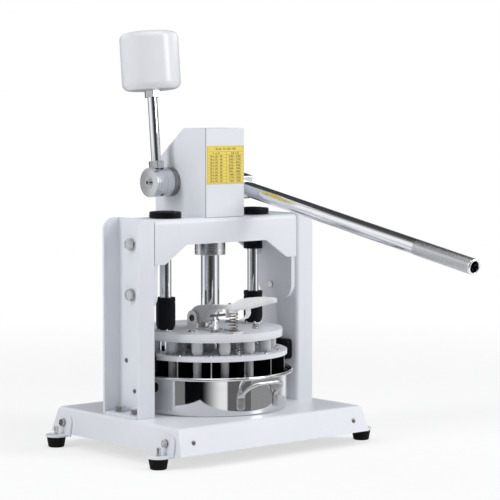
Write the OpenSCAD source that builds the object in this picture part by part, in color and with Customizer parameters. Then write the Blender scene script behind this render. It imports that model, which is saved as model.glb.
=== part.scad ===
// Manual dough divider. A hand lever turns a pinion, the pinion drives a toothed ram down,
// and the ram carries a ring of knives and a sprung press plate into a round pan.
// Millimetres, +Z up, the operator stands at -Y, and the floor is at height zero.

/* [Base] */
// Height of the folded skirt
base_h = 49; // [38:1:64]
// Sheet thickness of the base
base_t = 3; // [2:0.5:5]
// Flat margin from an upright's flange to the side edge
base_edge_x = 10; // [6:1:40]
// Flat margin from the pan's rim to the front and rear edges
base_edge_y = 25; // [15:1:60]
// Outward slope of the side skirts, measured at their lower edge
side_flare = 7; // [1:1:16]
// Outward slope of the front and rear skirts, measured at their lower edge
front_flare = 16; // [1:1:28]
// Outer radius of the bend between the top and a skirt
base_bend_r = 8; // [5:1:12]

/* [Feet] */
// Height of a rubber foot
foot_h = 20; // [14:1:30]
// Diameter of a rubber foot at its top
foot_top_d = 37; // [32:1:44]
// Diameter of a rubber foot at the floor
foot_floor_d = 31; // [24:1:32]
// Distance of a foot from the end of the side skirt
foot_inset = 26; // [25:1:60]
// Width of a foot bracket
bracket_w = 48; // [40:1:50]
// Sheet thickness of a foot bracket
bracket_t = 4; // [3:0.5:6]
// Height of a bracket's bolt above the skirt's lower edge
bracket_bolt_up = 20; // [16:1:24]
// Height of a bracket's top above its bolt
bracket_top_up = 16; // [12:1:18]
// Height of a foot's stud above its bracket
stud_up = 15; // [10:1:24]

/* [Uprights] */
// Distance from the press axis to the inner face of an upright
web_x = 175; // [170:1:200]
// Depth of an upright, front to back
up_d = 111; // [104:1:130]
// Width of an upright's flanges
flange_w = 41; // [36:1:50]
// Sheet thickness of the uprights
up_t = 5; // [3:0.5:6]
// Outer radius of an upright's two bends
up_bend_r = 8; // [7:1:12]
// Radius of the outer top corner of each flange
up_corner_r = 24; // [10:1:34]
// Height of an upright's top above the bridge
up_over = 2; // [0:1:10]
// Distance from the middle to each base bolt, front to back
base_bolt_y = 24; // [15:1:34]

/* [Bridge] */
// Sheet thickness of the bridge
bridge_t = 6; // [4:0.5:8]
// Depth of the bridge, front to back
bridge_d = 106; // [100:1:110]
// Height of the bridge's face in the middle
bridge_face_h = 48; // [40:1:56]
// Height of the bridge's face at its two legs
bridge_leg_h = 83; // [70:1:96]
// Width of a leg's lower edge
leg_w = 24; // [18:1:32]
// Width of the slope from a leg up to the middle
leg_run = 52; // [30:1:60]
// Outer radius of the bridge's bends
bridge_bend_r = 9; // [9:1:14]
// Thickness of the end ears
ear_t = 9; // [6:0.5:12]
// Height of the end ears
ear_h = 167; // [150:1:180]
// Depth of the end ears
ear_d = 98; // [88:1:100]
// Radius of an ear's lower corners
ear_r = 28; // [10:1:40]
// Depth of the upper ear bolt below the bridge's top
ear_bolt_down = 47; // [40:1:56]
// Distance between an ear's two bolts
ear_bolt_step = 95; // [80:1:100]
// Distance of the ear bolts behind the press axis
ear_bolt_y = 12; // [0:1:20]
// How far an ear bolt's end stands out of the ear
ear_bolt_end = 3; // [1:0.5:6]

/* [Head] */
// Width of the gear head
head_w = 93; // [84:1:110]
// Distance from the press axis to the head's front
head_front = 44; // [38:1:52]
// Room between the pinion's teeth and the head's rear wall
head_rear_room = 4.5; // [2:0.5:12]
// Sheet thickness of the head
head_t = 3; // [2:0.5:4]
// Thickness of the front cover
cover_t = 2.5; // [1.5:0.5:4]
// Depth of the sloped rear corner, front to back
slope_run = 87; // [60:1:95]
// Height of the sloped rear corner
slope_drop = 68; // [40:1:75]
// Room above the ram at the top of its stroke
head_room = 5; // [2:0.5:12]
// Height of the portion chart
chart_h = 72.5; // [50:0.5:90]
// Depth of the chart's top edge below the head's top
chart_down = 33.5; // [20:0.5:44]
// Margin beside the chart
chart_edge = 1.2; // [1:0.1:8]

/* [Drive] */
// Tooth module of rack and pinion
gear_module = 2.5; // [2.2:0.1:2.7]
// Teeth of the pinion
pinion_teeth = 32; // [31:1:34]
// Face width of the pinion and the rack
pinion_w = 18; // [14:1:22]
// Height of the shaft above the bridge
shaft_up = 65; // [56:1:72]
// Shaft diameter
shaft_d = 25; // [20:1:28]
// Diameter of the bearing flanges
bearing_d = 56; // [48:1:60]
// Thickness of the bearing flanges
bearing_t = 13; // [8:0.5:16]
// Length of the two hubs along the shaft
hub_len = 42; // [36:1:46]
// Length of rack beyond the working teeth, at each end
rack_over = 18; // [12:1:22]

/* [Counterweight] */
// Diameter of the weight's hub
hub_d = 55.5; // [46:0.5:57]
// Diameter of the weight
weight_d = 113; // [90:1:120]
// Height of the weight
weight_h = 110; // [80:1:120]
// Radius of the weight's edges
weight_r = 13; // [4:1:24]
// Distance from the shaft to the weight's middle
weight_arm = 232.5; // [210:0.5:260]
// Backward lean of the weight's rod, in degrees
weight_lean = 5.4; // [0:0.1:12]
// Diameter of the weight's rod
rod_d = 18.5; // [12:0.5:20]
// Width across the flats of the rod's nuts
rod_nut_af = 27; // [24:1:30]
// Height of the rod's nuts
rod_nut_h = 14; // [10:1:16]

/* [Lever] */
// Outer diameter of the lever
lever_d = 29; // [22:1:32]
// Bore of the lever
lever_bore = 21; // [14:0.5:21]
// Distance from the shaft to the lever's end
lever_len = 692; // [560:1:760]
// Slope of the lever below level, in degrees
lever_drop = 10.8; // [4:0.1:14]
// Height of the lever's square hub
lever_hub_h = 46; // [40:1:48]
// Reach of the lever's hub in front of the shaft
lever_hub_front = 64.5; // [56:0.5:72]
// Reach of the lever's hub behind the shaft
lever_hub_rear = 24; // [20:1:26]

/* [Ram and columns] */
// Diameter of the ram
ram_d = 35.4; // [33:0.1:37]
// Diameter of the ram's bush
ram_bush_d = 59; // [56:1:64]
// Length of the ram's bush
ram_bush_h = 68; // [50:1:72]
// Distance from the ram to each column
col_x = 109; // [107:1:112]
// Diameter of a column
col_d = 22; // [18:1:24]
// Diameter of a column's cap
cap_d = 61; // [50:1:62]
// Height of a column's cap
cap_h = 13.5; // [10:0.5:18]
// Diameter of a column's upper bush
bush_d = 37; // [32:1:40]
// Length of a column's upper bush
bush_h = 61; // [40:1:70]
// Diameter of a column's lower sleeve
sleeve_d = 37; // [32:1:40]
// Height of a column's lower sleeve
sleeve_h = 59; // [40:1:70]
// Width across the flats of a column's nut
col_nut_af = 30; // [28:1:34]
// Height of a column's nut
col_nut_h = 5.5; // [4:0.5:8]
// Stroke of the ram
lift = 78; // [70:1:84]
// Room between sleeve and bush at the top of the stroke
stop_gap = 5; // [2:0.5:10]

/* [Pan] */
// Outer diameter of the pan's wall
pan_d = 296; // [288:1:302]
// Height of the pan
pan_h = 74; // [60:1:84]
// Sheet thickness of the pan
pan_t = 1; // [0.8:0.1:1.5]
// How far the rim stands out from the wall
rim_out = 12; // [9:0.5:14]
// Diameter of the rolled edge of the rim
bead_d = 6.5; // [5:0.5:8]
// Distance between the two tabs of a handle
handle_w = 86; // [70:1:100]
// Reach of a handle from the pan's wall
handle_reach = 28; // [18:1:50]
// Diameter of the handle's rod
handle_rod_d = 7; // [6:0.5:8]
// Width of a handle's tab
tab_w = 16; // [12:1:20]
// Height of a handle's tab
tab_h = 30; // [24:1:36]

/* [Knives and press plate] */
// Cells in the outer ring
outer_cells = 14; // [14:1:14]
// Cells in the middle
inner_cells = 4; // [4:1:4]
// Thickness of the knives
knife_t = 2; // [1.5:0.1:3]
// Height of the knives
knife_h = 100; // [88:1:110]
// Room between the knives and the pan's floor
knife_gap = 1.5; // [1:0.1:4]
// Room between the knives and the pan's wall
knife_side_gap = 1.6; // [1:0.1:4]
// Cut on the lower outer corner of the outer knives
knife_lead = 3; // [1:0.5:5]
// Thickness of the knife carrier
carrier_t = 9; // [6:0.5:12]
// How far the carrier stands out past the pan's wall
carrier_over = 0.6; // [0:0.1:3]
// Gap between the carrier and the press plate
plate_gap = 26; // [22:0.5:32]
// Thickness of the liner under the press plate
liner_t = 5; // [3:0.5:8]
// Thickness of the press plate
plate_t = 10; // [8:0.5:14]
// How far the press plate stays inside the pan's wall
plate_inset = 8.5; // [5:0.5:10]
// Travel of the press plate towards the carrier
press_travel = 15; // [10:0.5:16]
// Thickness of the press blocks
block_h = 12; // [8:0.5:16]
// Room between a press block and the knives
block_gap = 1; // [0.5:0.1:2]
// Diameter of a post under the press plate
post_d = 22; // [18:1:23]
// Diameter of a post below the carrier
post_neck_d = 16; // [12:1:17]

/* [Springs] */
// Mean coil diameter of a return spring
spring_d = 10; // [8:0.5:12]
// Wire diameter of a return spring
spring_wire = 1.5; // [1:0.1:1.8]
// Turns of a return spring
spring_turns = 5; // [3:1:5]
// Mean coil diameter of the latch spring
latch_spring_d = 15; // [12:0.5:16]
// Wire diameter of the latch spring
latch_wire = 1.8; // [1.2:0.1:2]
// Turns of the latch spring
latch_turns = 6; // [4:1:6]

/* [Latch] */
// Length of the latch lever from its pin
latch_len = 236; // [210:1:250]
// Height of the latch lever's tip above its pin
latch_rise = 54; // [48:1:60]
// Height of the latch pin above the bracket's floor
latch_up = 17; // [16:0.5:20]
// Width of the latch bracket
latch_w = 27; // [25:0.5:28]
// Thickness of the latch bracket's lugs
lug_t = 4.5; // [3:0.5:5]
// Thickness of the latch bracket's floor
latch_floor_t = 4; // [3:0.5:5]
// Diameter of the latch pin
latch_pin_d = 10; // [8:0.5:12]
// Width of the latch lever's paddle
paddle_w = 27; // [22:1:32]

/* [Guide pads] */
// Thickness of a guide pad
pad_t = 12; // [6:0.5:14]
// Depth of a guide pad, front to back
pad_d = 82; // [74:1:90]
// Height of a guide pad
pad_h = 40; // [30:1:48]
// Radius of a guide pad's corners
pad_r = 8; // [4:1:14]
// Diameter of a pan bumper
bumper_d = 18; // [14:1:24]

/* [Fasteners] */
// Diameter of the frame bolts
bolt_d = 12; // [10:1:14]
// Diameter of the foot bracket bolts and studs
small_bolt_d = 8; // [6:1:10]
// Diameter of the button head screws
screw_d = 5; // [4:0.5:6]

/* [Hidden] */
$fn = 72;
// Overrun of every cut past the face that it opens
overrun = 1;
// Radial room of a running fit
run_gap = 0.06;
// Radial room of a fixed fit
fit_gap = 0.03;
// Room between pieces that move past each other
move_gap = 0.3;
// Room under a piece that only rests on its seat
seat_gap = 0.2;

// Heights, from the floor up
base_z = foot_h + bracket_t;
base_top = base_z + base_h;
pan_z = base_top + seat_gap;
knife_z = pan_z + pan_t + knife_gap;
carrier_z = knife_z + knife_h;
carrier_top = carrier_z + carrier_t;
liner_z = carrier_top + plate_gap;
plate_z = liner_z + liner_t;
plate_top = plate_z + plate_t;
sleeve_z = plate_top + move_gap + col_nut_h;
sleeve_top = sleeve_z + sleeve_h;
bush_z = sleeve_top + lift + stop_gap;
bridge_low = bush_z + bush_h;
bridge_top = bridge_low + bridge_t;
up_top = bridge_top + up_over;
shaft_z = bridge_top + shaft_up;
ram_top = shaft_z + rack_over;
head_top = ram_top + lift + head_room + head_t;
block_z = knife_z + press_travel;

// Rack and pinion
tooth_pitch = PI * gear_module;
pinion_r = gear_module * pinion_teeth / 2;
// Flat on the ram that the rack sits on, as a share of the ram's radius
rack_seat_share = 0.56;
rack_seat_y = rack_seat_share * ram_d / 2;
// Depth of rack body under its teeth, in modules
rack_body_modules_share = 2.8;
addendum = gear_module;
// Tooth depth below the pitch line, as a share of the module
dedendum_share = 1.25;
dedendum = dedendum_share * gear_module;
rack_pitch_y = rack_seat_y + rack_body_modules_share * gear_module + dedendum;
shaft_y = rack_pitch_y + pinion_r;
rack_z = shaft_z - lift - rack_over;
pressure_angle = 20;
// Thinning of each tooth, as a share of the module
backlash_share = 0.12;
backlash = backlash_share * gear_module;
flank_steps = 4;

// Plan sizes
pan_r = pan_d / 2;
rim_r = pan_r + rim_out;
knife_r = pan_r - pan_t - knife_side_gap;
ring_r = knife_r * sqrt(inner_cells / (inner_cells + outer_cells));
carrier_r = pan_r + carrier_over;
plate_r = pan_r - plate_inset;
// Posts of the outer cells lie at this share of the way from ring to rim
post_share = 0.62;
post_ring_r = ring_r + post_share * (knife_r - ring_r);
inner_post_r = post_share * ring_r;
cell_angle = 360 / outer_cells;
// Knives, counted from the right one, that have a return spring beside the posts
spring_knives = [2, 4, 6, 8, 10, 12];
head_back = shaft_y + pinion_r + addendum + head_rear_room + head_t;
hub_x = head_w / 2 + bearing_t + move_gap;
base_w = 2 * (web_x + flange_w + base_edge_x);
base_d = 2 * (rim_r + base_edge_y);

// Slope of the skirts, from the vertical
side_slope = atan2(side_flare, base_h);
front_slope = atan2(front_flare, base_h);
skirt_x = base_w / 2 + side_flare;
foot_x = skirt_x + foot_top_d / 2;
foot_y = base_d / 2 - foot_inset;
foot_edge = 2;
stud_depth = 12;
// Radius of the tab over a foot
tab_r = foot_top_d / 2 + foot_edge;
// Front screws of the base, from the side edge and the skirt's lower edge
base_screw_in = 28;
base_screw_up = 22;

// The lever's end reaches furthest forward and the rear skirt furthest back
reach_front = lever_len * cos(lever_drop) + lever_d / 2 * sin(lever_drop) - shaft_y;
reach_back = base_d / 2 + front_flare;
press_y = (reach_front - reach_back) / 2;

// Fastener proportions, as shares of the thread diameter
bolt_af_share = 1.58;
bolt_head_share = 0.63;
washer_d_share = 2;
washer_t_share = 0.2;
nut_h_share = 0.8;
hole_share = 1.06;
button_d_share = 1.9;
button_h_share = 0.55;

// Bearings, keys and hubs
bearing_wall = 7;
bearing_spigot_d = shaft_d + 2 * bearing_wall;
key_w = 8;
key_h = 7;
key_edge_share = 0.15;
pinion_wall = 8;
pinion_boss_d = shaft_d + 2 * pinion_wall;
hub_screw_d = 9;
hub_screw_h = 4;
hub_screw_len = 16;
hub_screw_head_d = 14;
hub_socket_d = 8;
hub_washer_d = 26;
hub_washer_t = 2;
set_screw_d = 8;
set_screw_lean = 32;
rod_seat = 1;
weight_bore = 62;
hub_edge_r = 3;
// Set screws of the lever's hub, as shares of its front reach
lever_screw_shares = [0.52, 0.82];
lever_socket_wall = 7;

// Bridge details
tongue_edge = 15;
tongue_w = head_w + 2 * tongue_edge;
tongue_over = 4;
tongue_back = head_back + tongue_over;
bush_wall = 4;
bush_spigot_d = col_d + 2 * bush_wall;
ram_bush_step = 4;
ram_spigot_d = ram_bush_d - 2 * ram_bush_step;
head_lip = 12;
head_screw_edge = 22;
cover_lip_t = 2;
cover_lip = 12;
cover_gap = 0.3;
chart_t = 0.4;
rack_room = 0.5;

// Columns
cap_top_t = 4;
cap_boss_in = 13;
cap_boss_d = cap_d - 2 * cap_boss_in;
cap_boss_h = 1.2;
sleeve_edge = 3;
cap_z = bridge_top + move_gap;
cap_top = cap_z + cap_h;

// Press plate and knives
plate_screw_in = 49;
plate_screw_r = plate_r - plate_screw_in;
plate_screw_angles = [27.5, 55, 125, 152.5];
carrier_screw_in = 14;
carrier_screw_r = carrier_r - carrier_screw_in;
ram_spigot_len = carrier_t;
ram_foot_d = 20;
edge_h = 5;
edge_t = 0.5;
spring_pin_h = 5;
spring_pin_room = 0.75;
spring_pin_d = spring_d - spring_wire - 2 * spring_pin_room;
post_taper = 8;
post_room = 0.6;
ring_steps = 144;

// Latch
latch_floor_z = plate_top + latch_floor_t;
latch_z = latch_floor_z + latch_up;
latch_side_gap = 0.9;
latch_x = -(ram_d / 2 + latch_side_gap + latch_w / 2);
latch_hub_gap = 0.4;
latch_hub_w = latch_w - 2 * (lug_t + latch_hub_gap);
latch_hub_r = 14;
lug_r = 14.5;
arm_w = 14;
paddle_wall = 3;
// Outline of the latch lever, as shares of its length and rise: first the top, then the underside
latch_shares = [
  [0.02, 0.24], [0.07, 0.44], [0.36, 0.55], [0.51, 0.68], [0.585, 0.87], [0.88, 1.0], [1.0, 0.98],
  [1.0, 0.87], [0.78, 0.66], [0.62, 0.49], [0.42, 0.38], [0.2, 0.22], [0.04, -0.05]
];
// Where the arm widens into the paddle
paddle_share = 0.5;
latch_rod_d = 5;
latch_rod_angle = 8.2;
latch_rod_in = 4;
// Place of the spring and of the rod's lug along the latch lever
latch_spring_share = 0.46;
latch_lug_share = 0.385;
latch_lug_t = 5;
latch_lug_w = 11;
latch_lug_drop = 6;
latch_spring_y = -latch_spring_share * latch_len;
// Height of the spring's upper seat above the pin
latch_seat_share = 0.33;
latch_seat_z = latch_z + latch_seat_share * latch_rise;
latch_seat_edge = 0.5;
latch_seat_d = latch_spring_d + latch_wire + 2 * latch_seat_edge;
latch_rear = 17;
latch_floor_edge = 5;
latch_front = latch_seat_d / 2 + latch_floor_edge - latch_spring_y;
latch_screw_shares = [0.3, 0.68];
pawl_h = 9;
pawl_d = 11;
pawl_up = 10;
pawl_over = 7;
groove_depth = 2.4;

// Pads and bumpers on the uprights
pad_over = 6;
pad_z = base_top + pan_h + pad_over;
pad_screw_in = 11;
pad_screw_y = pad_d / 2 - pad_screw_in;
bumper_y = 5;
bumper_up = 44;

// Pan
tab_t = 2.5;
tab_up = 10;
handle_rise = 22;
handle_bend_r = 25;
rivet_d = 5;
rivet_h = 1.4;
rivet_step = 14;

// Placing helpers

// Moves a piece that is drawn about the press axis to its place in the machine.
module in_place() {
  translate([0, press_y, 0])
    children();
}

// A copy in each of the four corners of the machine.
module each_corner() {
  for (flip_x = [0, 1], flip_y = [0, 1])
    mirror([flip_x, 0, 0])
      mirror([0, flip_y, 0])
        children();
}

// A copy on the right and one on the left.
module both_sides() {
  for (flip = [0, 1])
    mirror([flip, 0, 0])
      children();
}

// Turns a piece about the shaft; at zero its own -Y is level and points forward.
module at_shaft(angle) {
  translate([0, shaft_y, shaft_z])
    rotate([angle, 0, 0])
      children();
}

// An outline in Y and Z, carried from x0 to x1.
module yz_slab(x0, x1) {
  translate([x0, 0, 0])
    rotate([90, 0, 90])
      linear_extrude(x1 - x0)
        children();
}

// An outline in X and Z, carried from y0 to y1.
module xz_slab(y0, y1) {
  translate([0, y1, 0])
    rotate([90, 0, 0])
      linear_extrude(y1 - y0)
        children();
}

// A flat plate from z0 to z1.
module slab(z0, z1) {
  translate([0, 0, z0])
    linear_extrude(z1 - z0)
      children();
}

// A round bar along X.
module x_bar(x0, x1, d) {
  translate([x0, 0, 0])
    rotate([0, 90, 0])
      cylinder(d = d, h = x1 - x0);
}

// A round bar upright from z0 to z1.
module z_bar(z0, z1, d) {
  translate([0, 0, z0])
    cylinder(d = d, h = z1 - z0);
}

// Outline helpers

// A rectangle between two corners.
module rect(x0, y0, x1, y1) {
  translate([x0, y0])
    square([x1 - x0, y1 - y0]);
}

// A rectangle with four round corners.
module round_rect(x0, y0, x1, y1, r) {
  rect(x0 + r, y0, x1 - r, y1);
  rect(x0, y0 + r, x1, y1 - r);
  for (x = [x0 + r, x1 - r], y = [y0 + r, y1 - r])
    translate([x, y])
      circle(r);
}

// A point at a radius and an angle.
function polar(r, a) = [r * cos(a), r * sin(a)];

// A wedge of half angle a about +X, with its sides drawn in by a margin.
module wedge(a, margin, reach) {
  tip = margin / sin(a);
  polygon([
    [tip, 0],
    [tip + reach * cos(a), -reach * sin(a)],
    [tip + reach * cos(a), reach * sin(a)]
  ]);
}

// Fasteners, standing on z = 0 with the thread pointing down

module hex_head(d) {
  cylinder(d = d * bolt_af_share / cos(30), h = d * bolt_head_share, $fn = 6);
}

module washer_under(d) {
  cylinder(d = d * washer_d_share, h = d * washer_t_share);
}

// Hexagon bolt with its washer and a shank of the given length.
module hex_bolt(d, len) {
  washer_under(d);
  translate([0, 0, d * washer_t_share])
    hex_head(d);
  translate([0, 0, -len])
    cylinder(d = d, h = len + d * washer_t_share);
}

module hex_nut(d) {
  difference() {
    cylinder(d = d * bolt_af_share / cos(30), h = d * nut_h_share, $fn = 6);
    translate([0, 0, -overrun])
      cylinder(r = d / 2 + fit_gap, h = d * nut_h_share + 2 * overrun);
  }
}

// Button head screw with a socket.
module button_screw(d, len) {
  head_r = d * button_d_share / 2;
  head_h = d * button_h_share;
  ball_r = (head_r * head_r + head_h * head_h) / (2 * head_h);
  difference() {
    intersection() {
      translate([0, 0, head_h - ball_r])
        sphere(ball_r);
      cylinder(r = head_r, h = head_h);
    }
    translate([0, 0, head_h / 2])
      cylinder(d = d * hole_share / 2, h = head_h, $fn = 6);
  }
  translate([0, 0, -len])
    cylinder(d = d, h = len);
}

// Base

// Half of the base's width or depth at a height, on the outside of its skirt.
function skirt_half(half, flare, z) = half + flare * (base_top - z) / base_h;

// Section of the base between two skirts, drawn in by a wall.
module skirt_section(half, flare, slope, wall) {
  top = base_top - wall;
  low = wall > 0 ? base_z - overrun : base_z;
  top_half = skirt_half(half, flare, top) - wall / cos(slope);
  low_half = skirt_half(half, flare, low) - wall / cos(slope);
  r = base_bend_r - wall;
  lead = r / tan((90 + slope) / 2);
  slope_y = lead * cos(slope);
  slope_x = lead * sin(slope);
  polygon([
    [-low_half, low], [low_half, low],
    [top_half + slope_x, top - slope_y], [top_half - lead, top],
    [lead - top_half, top], [-top_half - slope_x, top - slope_y]
  ]);
  for (x = [top_half - lead, lead - top_half])
    translate([x, top - r])
      circle(r);
}

module base_form(wall) {
  reach_x = skirt_x + overrun;
  reach_y = base_d / 2 + front_flare + overrun;
  intersection() {
    xz_slab(-reach_y, reach_y)
      skirt_section(base_w / 2, side_flare, side_slope, wall);
    yz_slab(-reach_x, reach_x)
      skirt_section(base_d / 2, front_flare, front_slope, wall);
  }
}

bracket_bolt_z = base_z + bracket_bolt_up;

// Stands a fastener on the outside of a bracket, on the side skirt.
module on_bracket(out) {
  translate([skirt_half(base_w / 2, side_flare, bracket_bolt_z), foot_y, bracket_bolt_z])
    rotate([0, 90 - side_slope, 0])
      translate([0, 0, out])
        children();
}

// Stands a fastener on the front skirt.
module on_front_skirt() {
  z = base_z + base_screw_up;
  for (x = [-1, 1])
    translate([x * (base_w / 2 - base_screw_in), -skirt_half(base_d / 2, front_flare, z), z])
      rotate([90 - front_slope, 0, 0])
        children();
}

// Stands a fastener on an upright's foot.
module on_upright_foot(z) {
  each_corner()
    translate([web_x + (up_t + flange_w) / 2, base_bolt_y, z])
      children();
}

module base_plate() {
  color("white")
    in_place()
      difference() {
        base_form(0);
        base_form(base_t);
        on_upright_foot(base_top - base_t - overrun)
          cylinder(d = bolt_d * hole_share, h = base_t + 2 * overrun);
        each_corner()
          on_bracket(-base_t - overrun)
            cylinder(d = small_bolt_d * hole_share, h = base_t + 2 * overrun);
        on_front_skirt()
          translate([0, 0, -base_t - overrun])
            cylinder(d = screw_d * hole_share, h = base_t + 2 * overrun);
      }
}

module foot_brackets() {
  leg_top = bracket_bolt_z + bracket_top_up;
  wall = bracket_t / cos(side_slope);
  low_x = skirt_half(base_w / 2, side_flare, foot_h);
  top_x = skirt_half(base_w / 2, side_flare, leg_top);
  color("white")
    in_place()
      each_corner()
        difference() {
          union() {
            intersection() {
              xz_slab(foot_y - bracket_w / 2, foot_y + bracket_w / 2)
                polygon([
                  [low_x, foot_h], [low_x + wall, foot_h],
                  [top_x + wall, leg_top], [top_x, leg_top]
                ]);
              yz_slab(base_w / 2 - overrun, foot_x)
                translate([foot_y, 0])
                  round_rect(-bracket_w / 2, foot_h - leg_top, bracket_w / 2, leg_top,
                    bracket_top_up);
            }
            slab(foot_h, base_z)
              difference() {
                union() {
                  rect(low_x, foot_y - tab_r, foot_x, foot_y + tab_r);
                  translate([foot_x, foot_y])
                    circle(tab_r);
                }
                rect(0, foot_y - 2 * tab_r, low_x, foot_y + 2 * tab_r);
              }
          }
          on_bracket(-overrun)
            cylinder(d = small_bolt_d * hole_share, h = bracket_t + 2 * overrun);
          translate([foot_x, foot_y, foot_h - overrun])
            cylinder(r = small_bolt_d / 2 + fit_gap, h = bracket_t + 2 * overrun);
        }
}

module bracket_bolts() {
  color("silver")
    in_place()
      each_corner() {
        on_bracket(bracket_t)
          hex_bolt(small_bolt_d, bracket_t + base_t + small_bolt_d);
        on_bracket(-base_t)
          mirror([0, 0, 1])
            hex_nut(small_bolt_d);
      }
}

module foot_studs() {
  color("dimgray")
    in_place()
      each_corner()
        translate([foot_x, foot_y, 0])
          z_bar(foot_h - stud_depth, base_z + stud_up, small_bolt_d);
}

module rubber_feet() {
  color("black")
    in_place()
      each_corner()
        translate([foot_x, foot_y, 0])
          difference() {
            union() {
              cylinder(d1 = foot_floor_d - 2 * foot_edge, d2 = foot_floor_d, h = foot_edge);
              translate([0, 0, foot_edge])
                cylinder(d1 = foot_floor_d, d2 = foot_top_d, h = foot_h - foot_edge);
            }
            z_bar(foot_h - stud_depth, foot_h + overrun, small_bolt_d + 2 * fit_gap);
          }
}

// Uprights

// Channel section of the right upright, drawn in by a wall.
module channel_outline(wall, far) {
  near = web_x + wall;
  half = up_d / 2 - wall;
  r = up_bend_r - wall;
  rect(near + r, -half, far, half);
  rect(near, r - half, far, half - r);
  for (y = [r - half, half - r])
    translate([near + r, y])
      circle(r);
}

ear_bolt_heights = [bridge_top - ear_bolt_down, bridge_top - ear_bolt_down - ear_bolt_step];

// Stands a fastener on the right web, its thread pointing at the press.
module on_web(x, y, z) {
  translate([x, y, z])
    rotate([0, 90, 0])
      children();
}

module web_holes(depth) {
  for (z = ear_bolt_heights)
    on_web(web_x - depth - overrun, ear_bolt_y, z)
      cylinder(d = bolt_d * hole_share, h = depth + up_t + 2 * overrun);
}

// Places of the pad screws and the bumper screw on the right web.
function web_screw_places() = [
  [-pad_screw_y, pad_z + pad_h / 2],
  [pad_screw_y, pad_z + pad_h / 2],
  [bumper_y, base_top + bumper_up]
];

module upright() {
  outer = web_x + flange_w;
  difference() {
    union() {
      intersection() {
        slab(base_top, up_top)
          difference() {
            channel_outline(0, outer);
            channel_outline(up_t, outer + overrun);
          }
        xz_slab(-up_d, up_d)
          union() {
            rect(0, base_top, outer, up_top - up_corner_r);
            rect(0, base_top, outer - up_corner_r, up_top);
            translate([outer - up_corner_r, up_top - up_corner_r])
              circle(up_corner_r);
          }
      }
      slab(base_top, base_top + up_t)
        rect(web_x + up_t / 2, up_t / 2 - up_d / 2 + up_bend_r / 2, outer,
          up_d / 2 - up_t / 2 - up_bend_r / 2);
    }
    web_holes(0);
    for (place = web_screw_places())
      on_web(web_x - overrun, place[0], place[1])
        cylinder(d = screw_d * hole_share, h = up_t + 2 * overrun);
    on_upright_foot(base_top - overrun)
      cylinder(d = bolt_d * hole_share, h = up_t + 2 * overrun);
  }
}

module left_upright() {
  color("white")
    in_place()
      mirror([1, 0, 0])
        upright();
}

module right_upright() {
  color("white")
    in_place()
      upright();
}

module frame_bolts() {
  color("silver")
    in_place() {
      on_upright_foot(base_top + up_t)
        hex_bolt(bolt_d, up_t + base_t + bolt_d);
      both_sides()
        for (z = ear_bolt_heights)
          on_web(web_x + up_t, ear_bolt_y, z)
            hex_bolt(bolt_d, up_t + ear_t + ear_bolt_end);
    }
}

module frame_nuts() {
  color("silver")
    in_place() {
      on_upright_foot(base_top - base_t)
        mirror([0, 0, 1])
          hex_nut(bolt_d);
    }
}

module small_screws() {
  depth = pad_t / 2;
  color("silver")
    in_place() {
      both_sides()
        for (place = web_screw_places())
          on_web(web_x + up_t, place[0], place[1])
            button_screw(screw_d, up_t + depth);
      on_front_skirt()
        button_screw(screw_d, base_t + screw_d);
    }
}

module guide_pads() {
  color("black")
    in_place()
      both_sides()
        difference() {
          yz_slab(web_x - pad_t, web_x)
            round_rect(-pad_d / 2, pad_z, pad_d / 2, pad_z + pad_h, pad_r);
          for (y = [-pad_screw_y, pad_screw_y])
            on_web(web_x - pad_t / 2, y, pad_z + pad_h / 2)
              cylinder(r = screw_d / 2 + fit_gap, h = pad_t);
        }
}

module pan_bumpers() {
  color("black")
    in_place()
      both_sides()
        difference() {
          translate([0, bumper_y, base_top + bumper_up])
            x_bar(pan_r + move_gap, web_x, bumper_d);
          on_web(web_x - pad_t / 2, bumper_y, base_top + bumper_up)
            cylinder(r = screw_d / 2 + fit_gap, h = pad_t);
        }
}

// Bridge

// Section of the bridge in Y and Z, drawn in by a wall.
module bridge_section(wall) {
  half = bridge_d / 2 - wall;
  top = bridge_top - wall;
  low = bridge_top - bridge_leg_h - (wall > 0 ? overrun : 0);
  r = bridge_bend_r - wall;
  rect(-half, low, half, top - r);
  rect(r - half, low, half - r, top);
  for (y = [r - half, half - r])
    translate([y, top - r])
      circle(r);
}

// Face of the bridge in X and Z, with its two legs.
module bridge_face() {
  leg_z = bridge_top - bridge_leg_h;
  mid_z = bridge_top - bridge_face_h;
  inner = web_x - leg_w;
  polygon([
    [-web_x, bridge_top], [-web_x, leg_z], [-inner, leg_z], [leg_run - inner, mid_z],
    [inner - leg_run, mid_z], [inner, leg_z], [web_x, leg_z], [web_x, bridge_top]
  ]);
}

// Places of the four screws under the head, on its right side.
head_screw_x = head_w / 2 - head_t - head_lip / 2;
head_screw_ys = [head_screw_edge - head_front, head_back - head_screw_edge];

module bridge() {
  color("white")
    in_place()
      difference() {
        union() {
          intersection() {
            yz_slab(-web_x, web_x)
              difference() {
                bridge_section(0);
                bridge_section(bridge_t);
              }
            xz_slab(-bridge_d, bridge_d)
              bridge_face();
          }
          both_sides()
            yz_slab(web_x - ear_t, web_x)
              intersection() {
                round_rect(-ear_d / 2, bridge_top - ear_h, ear_d / 2, bridge_top, ear_r);
                rect(-ear_d, 0, ear_d, bridge_low + bridge_t / 2);
              }
          slab(bridge_low, bridge_top)
            rect(-tongue_w / 2, bridge_d / 2 - bridge_bend_r, tongue_w / 2, tongue_back);
        }
        both_sides() {
          web_holes(ear_t);
          translate([col_x, 0, 0])
            z_bar(bridge_low - overrun, bridge_top + overrun, bush_spigot_d + 2 * fit_gap);
          for (y = head_screw_ys)
            translate([head_screw_x, y, 0])
              z_bar(bridge_low - overrun, bridge_top + overrun, screw_d * hole_share);
        }
        z_bar(bridge_low - overrun, bridge_top + overrun, ram_spigot_d + 2 * fit_gap);
      }
}

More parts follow.
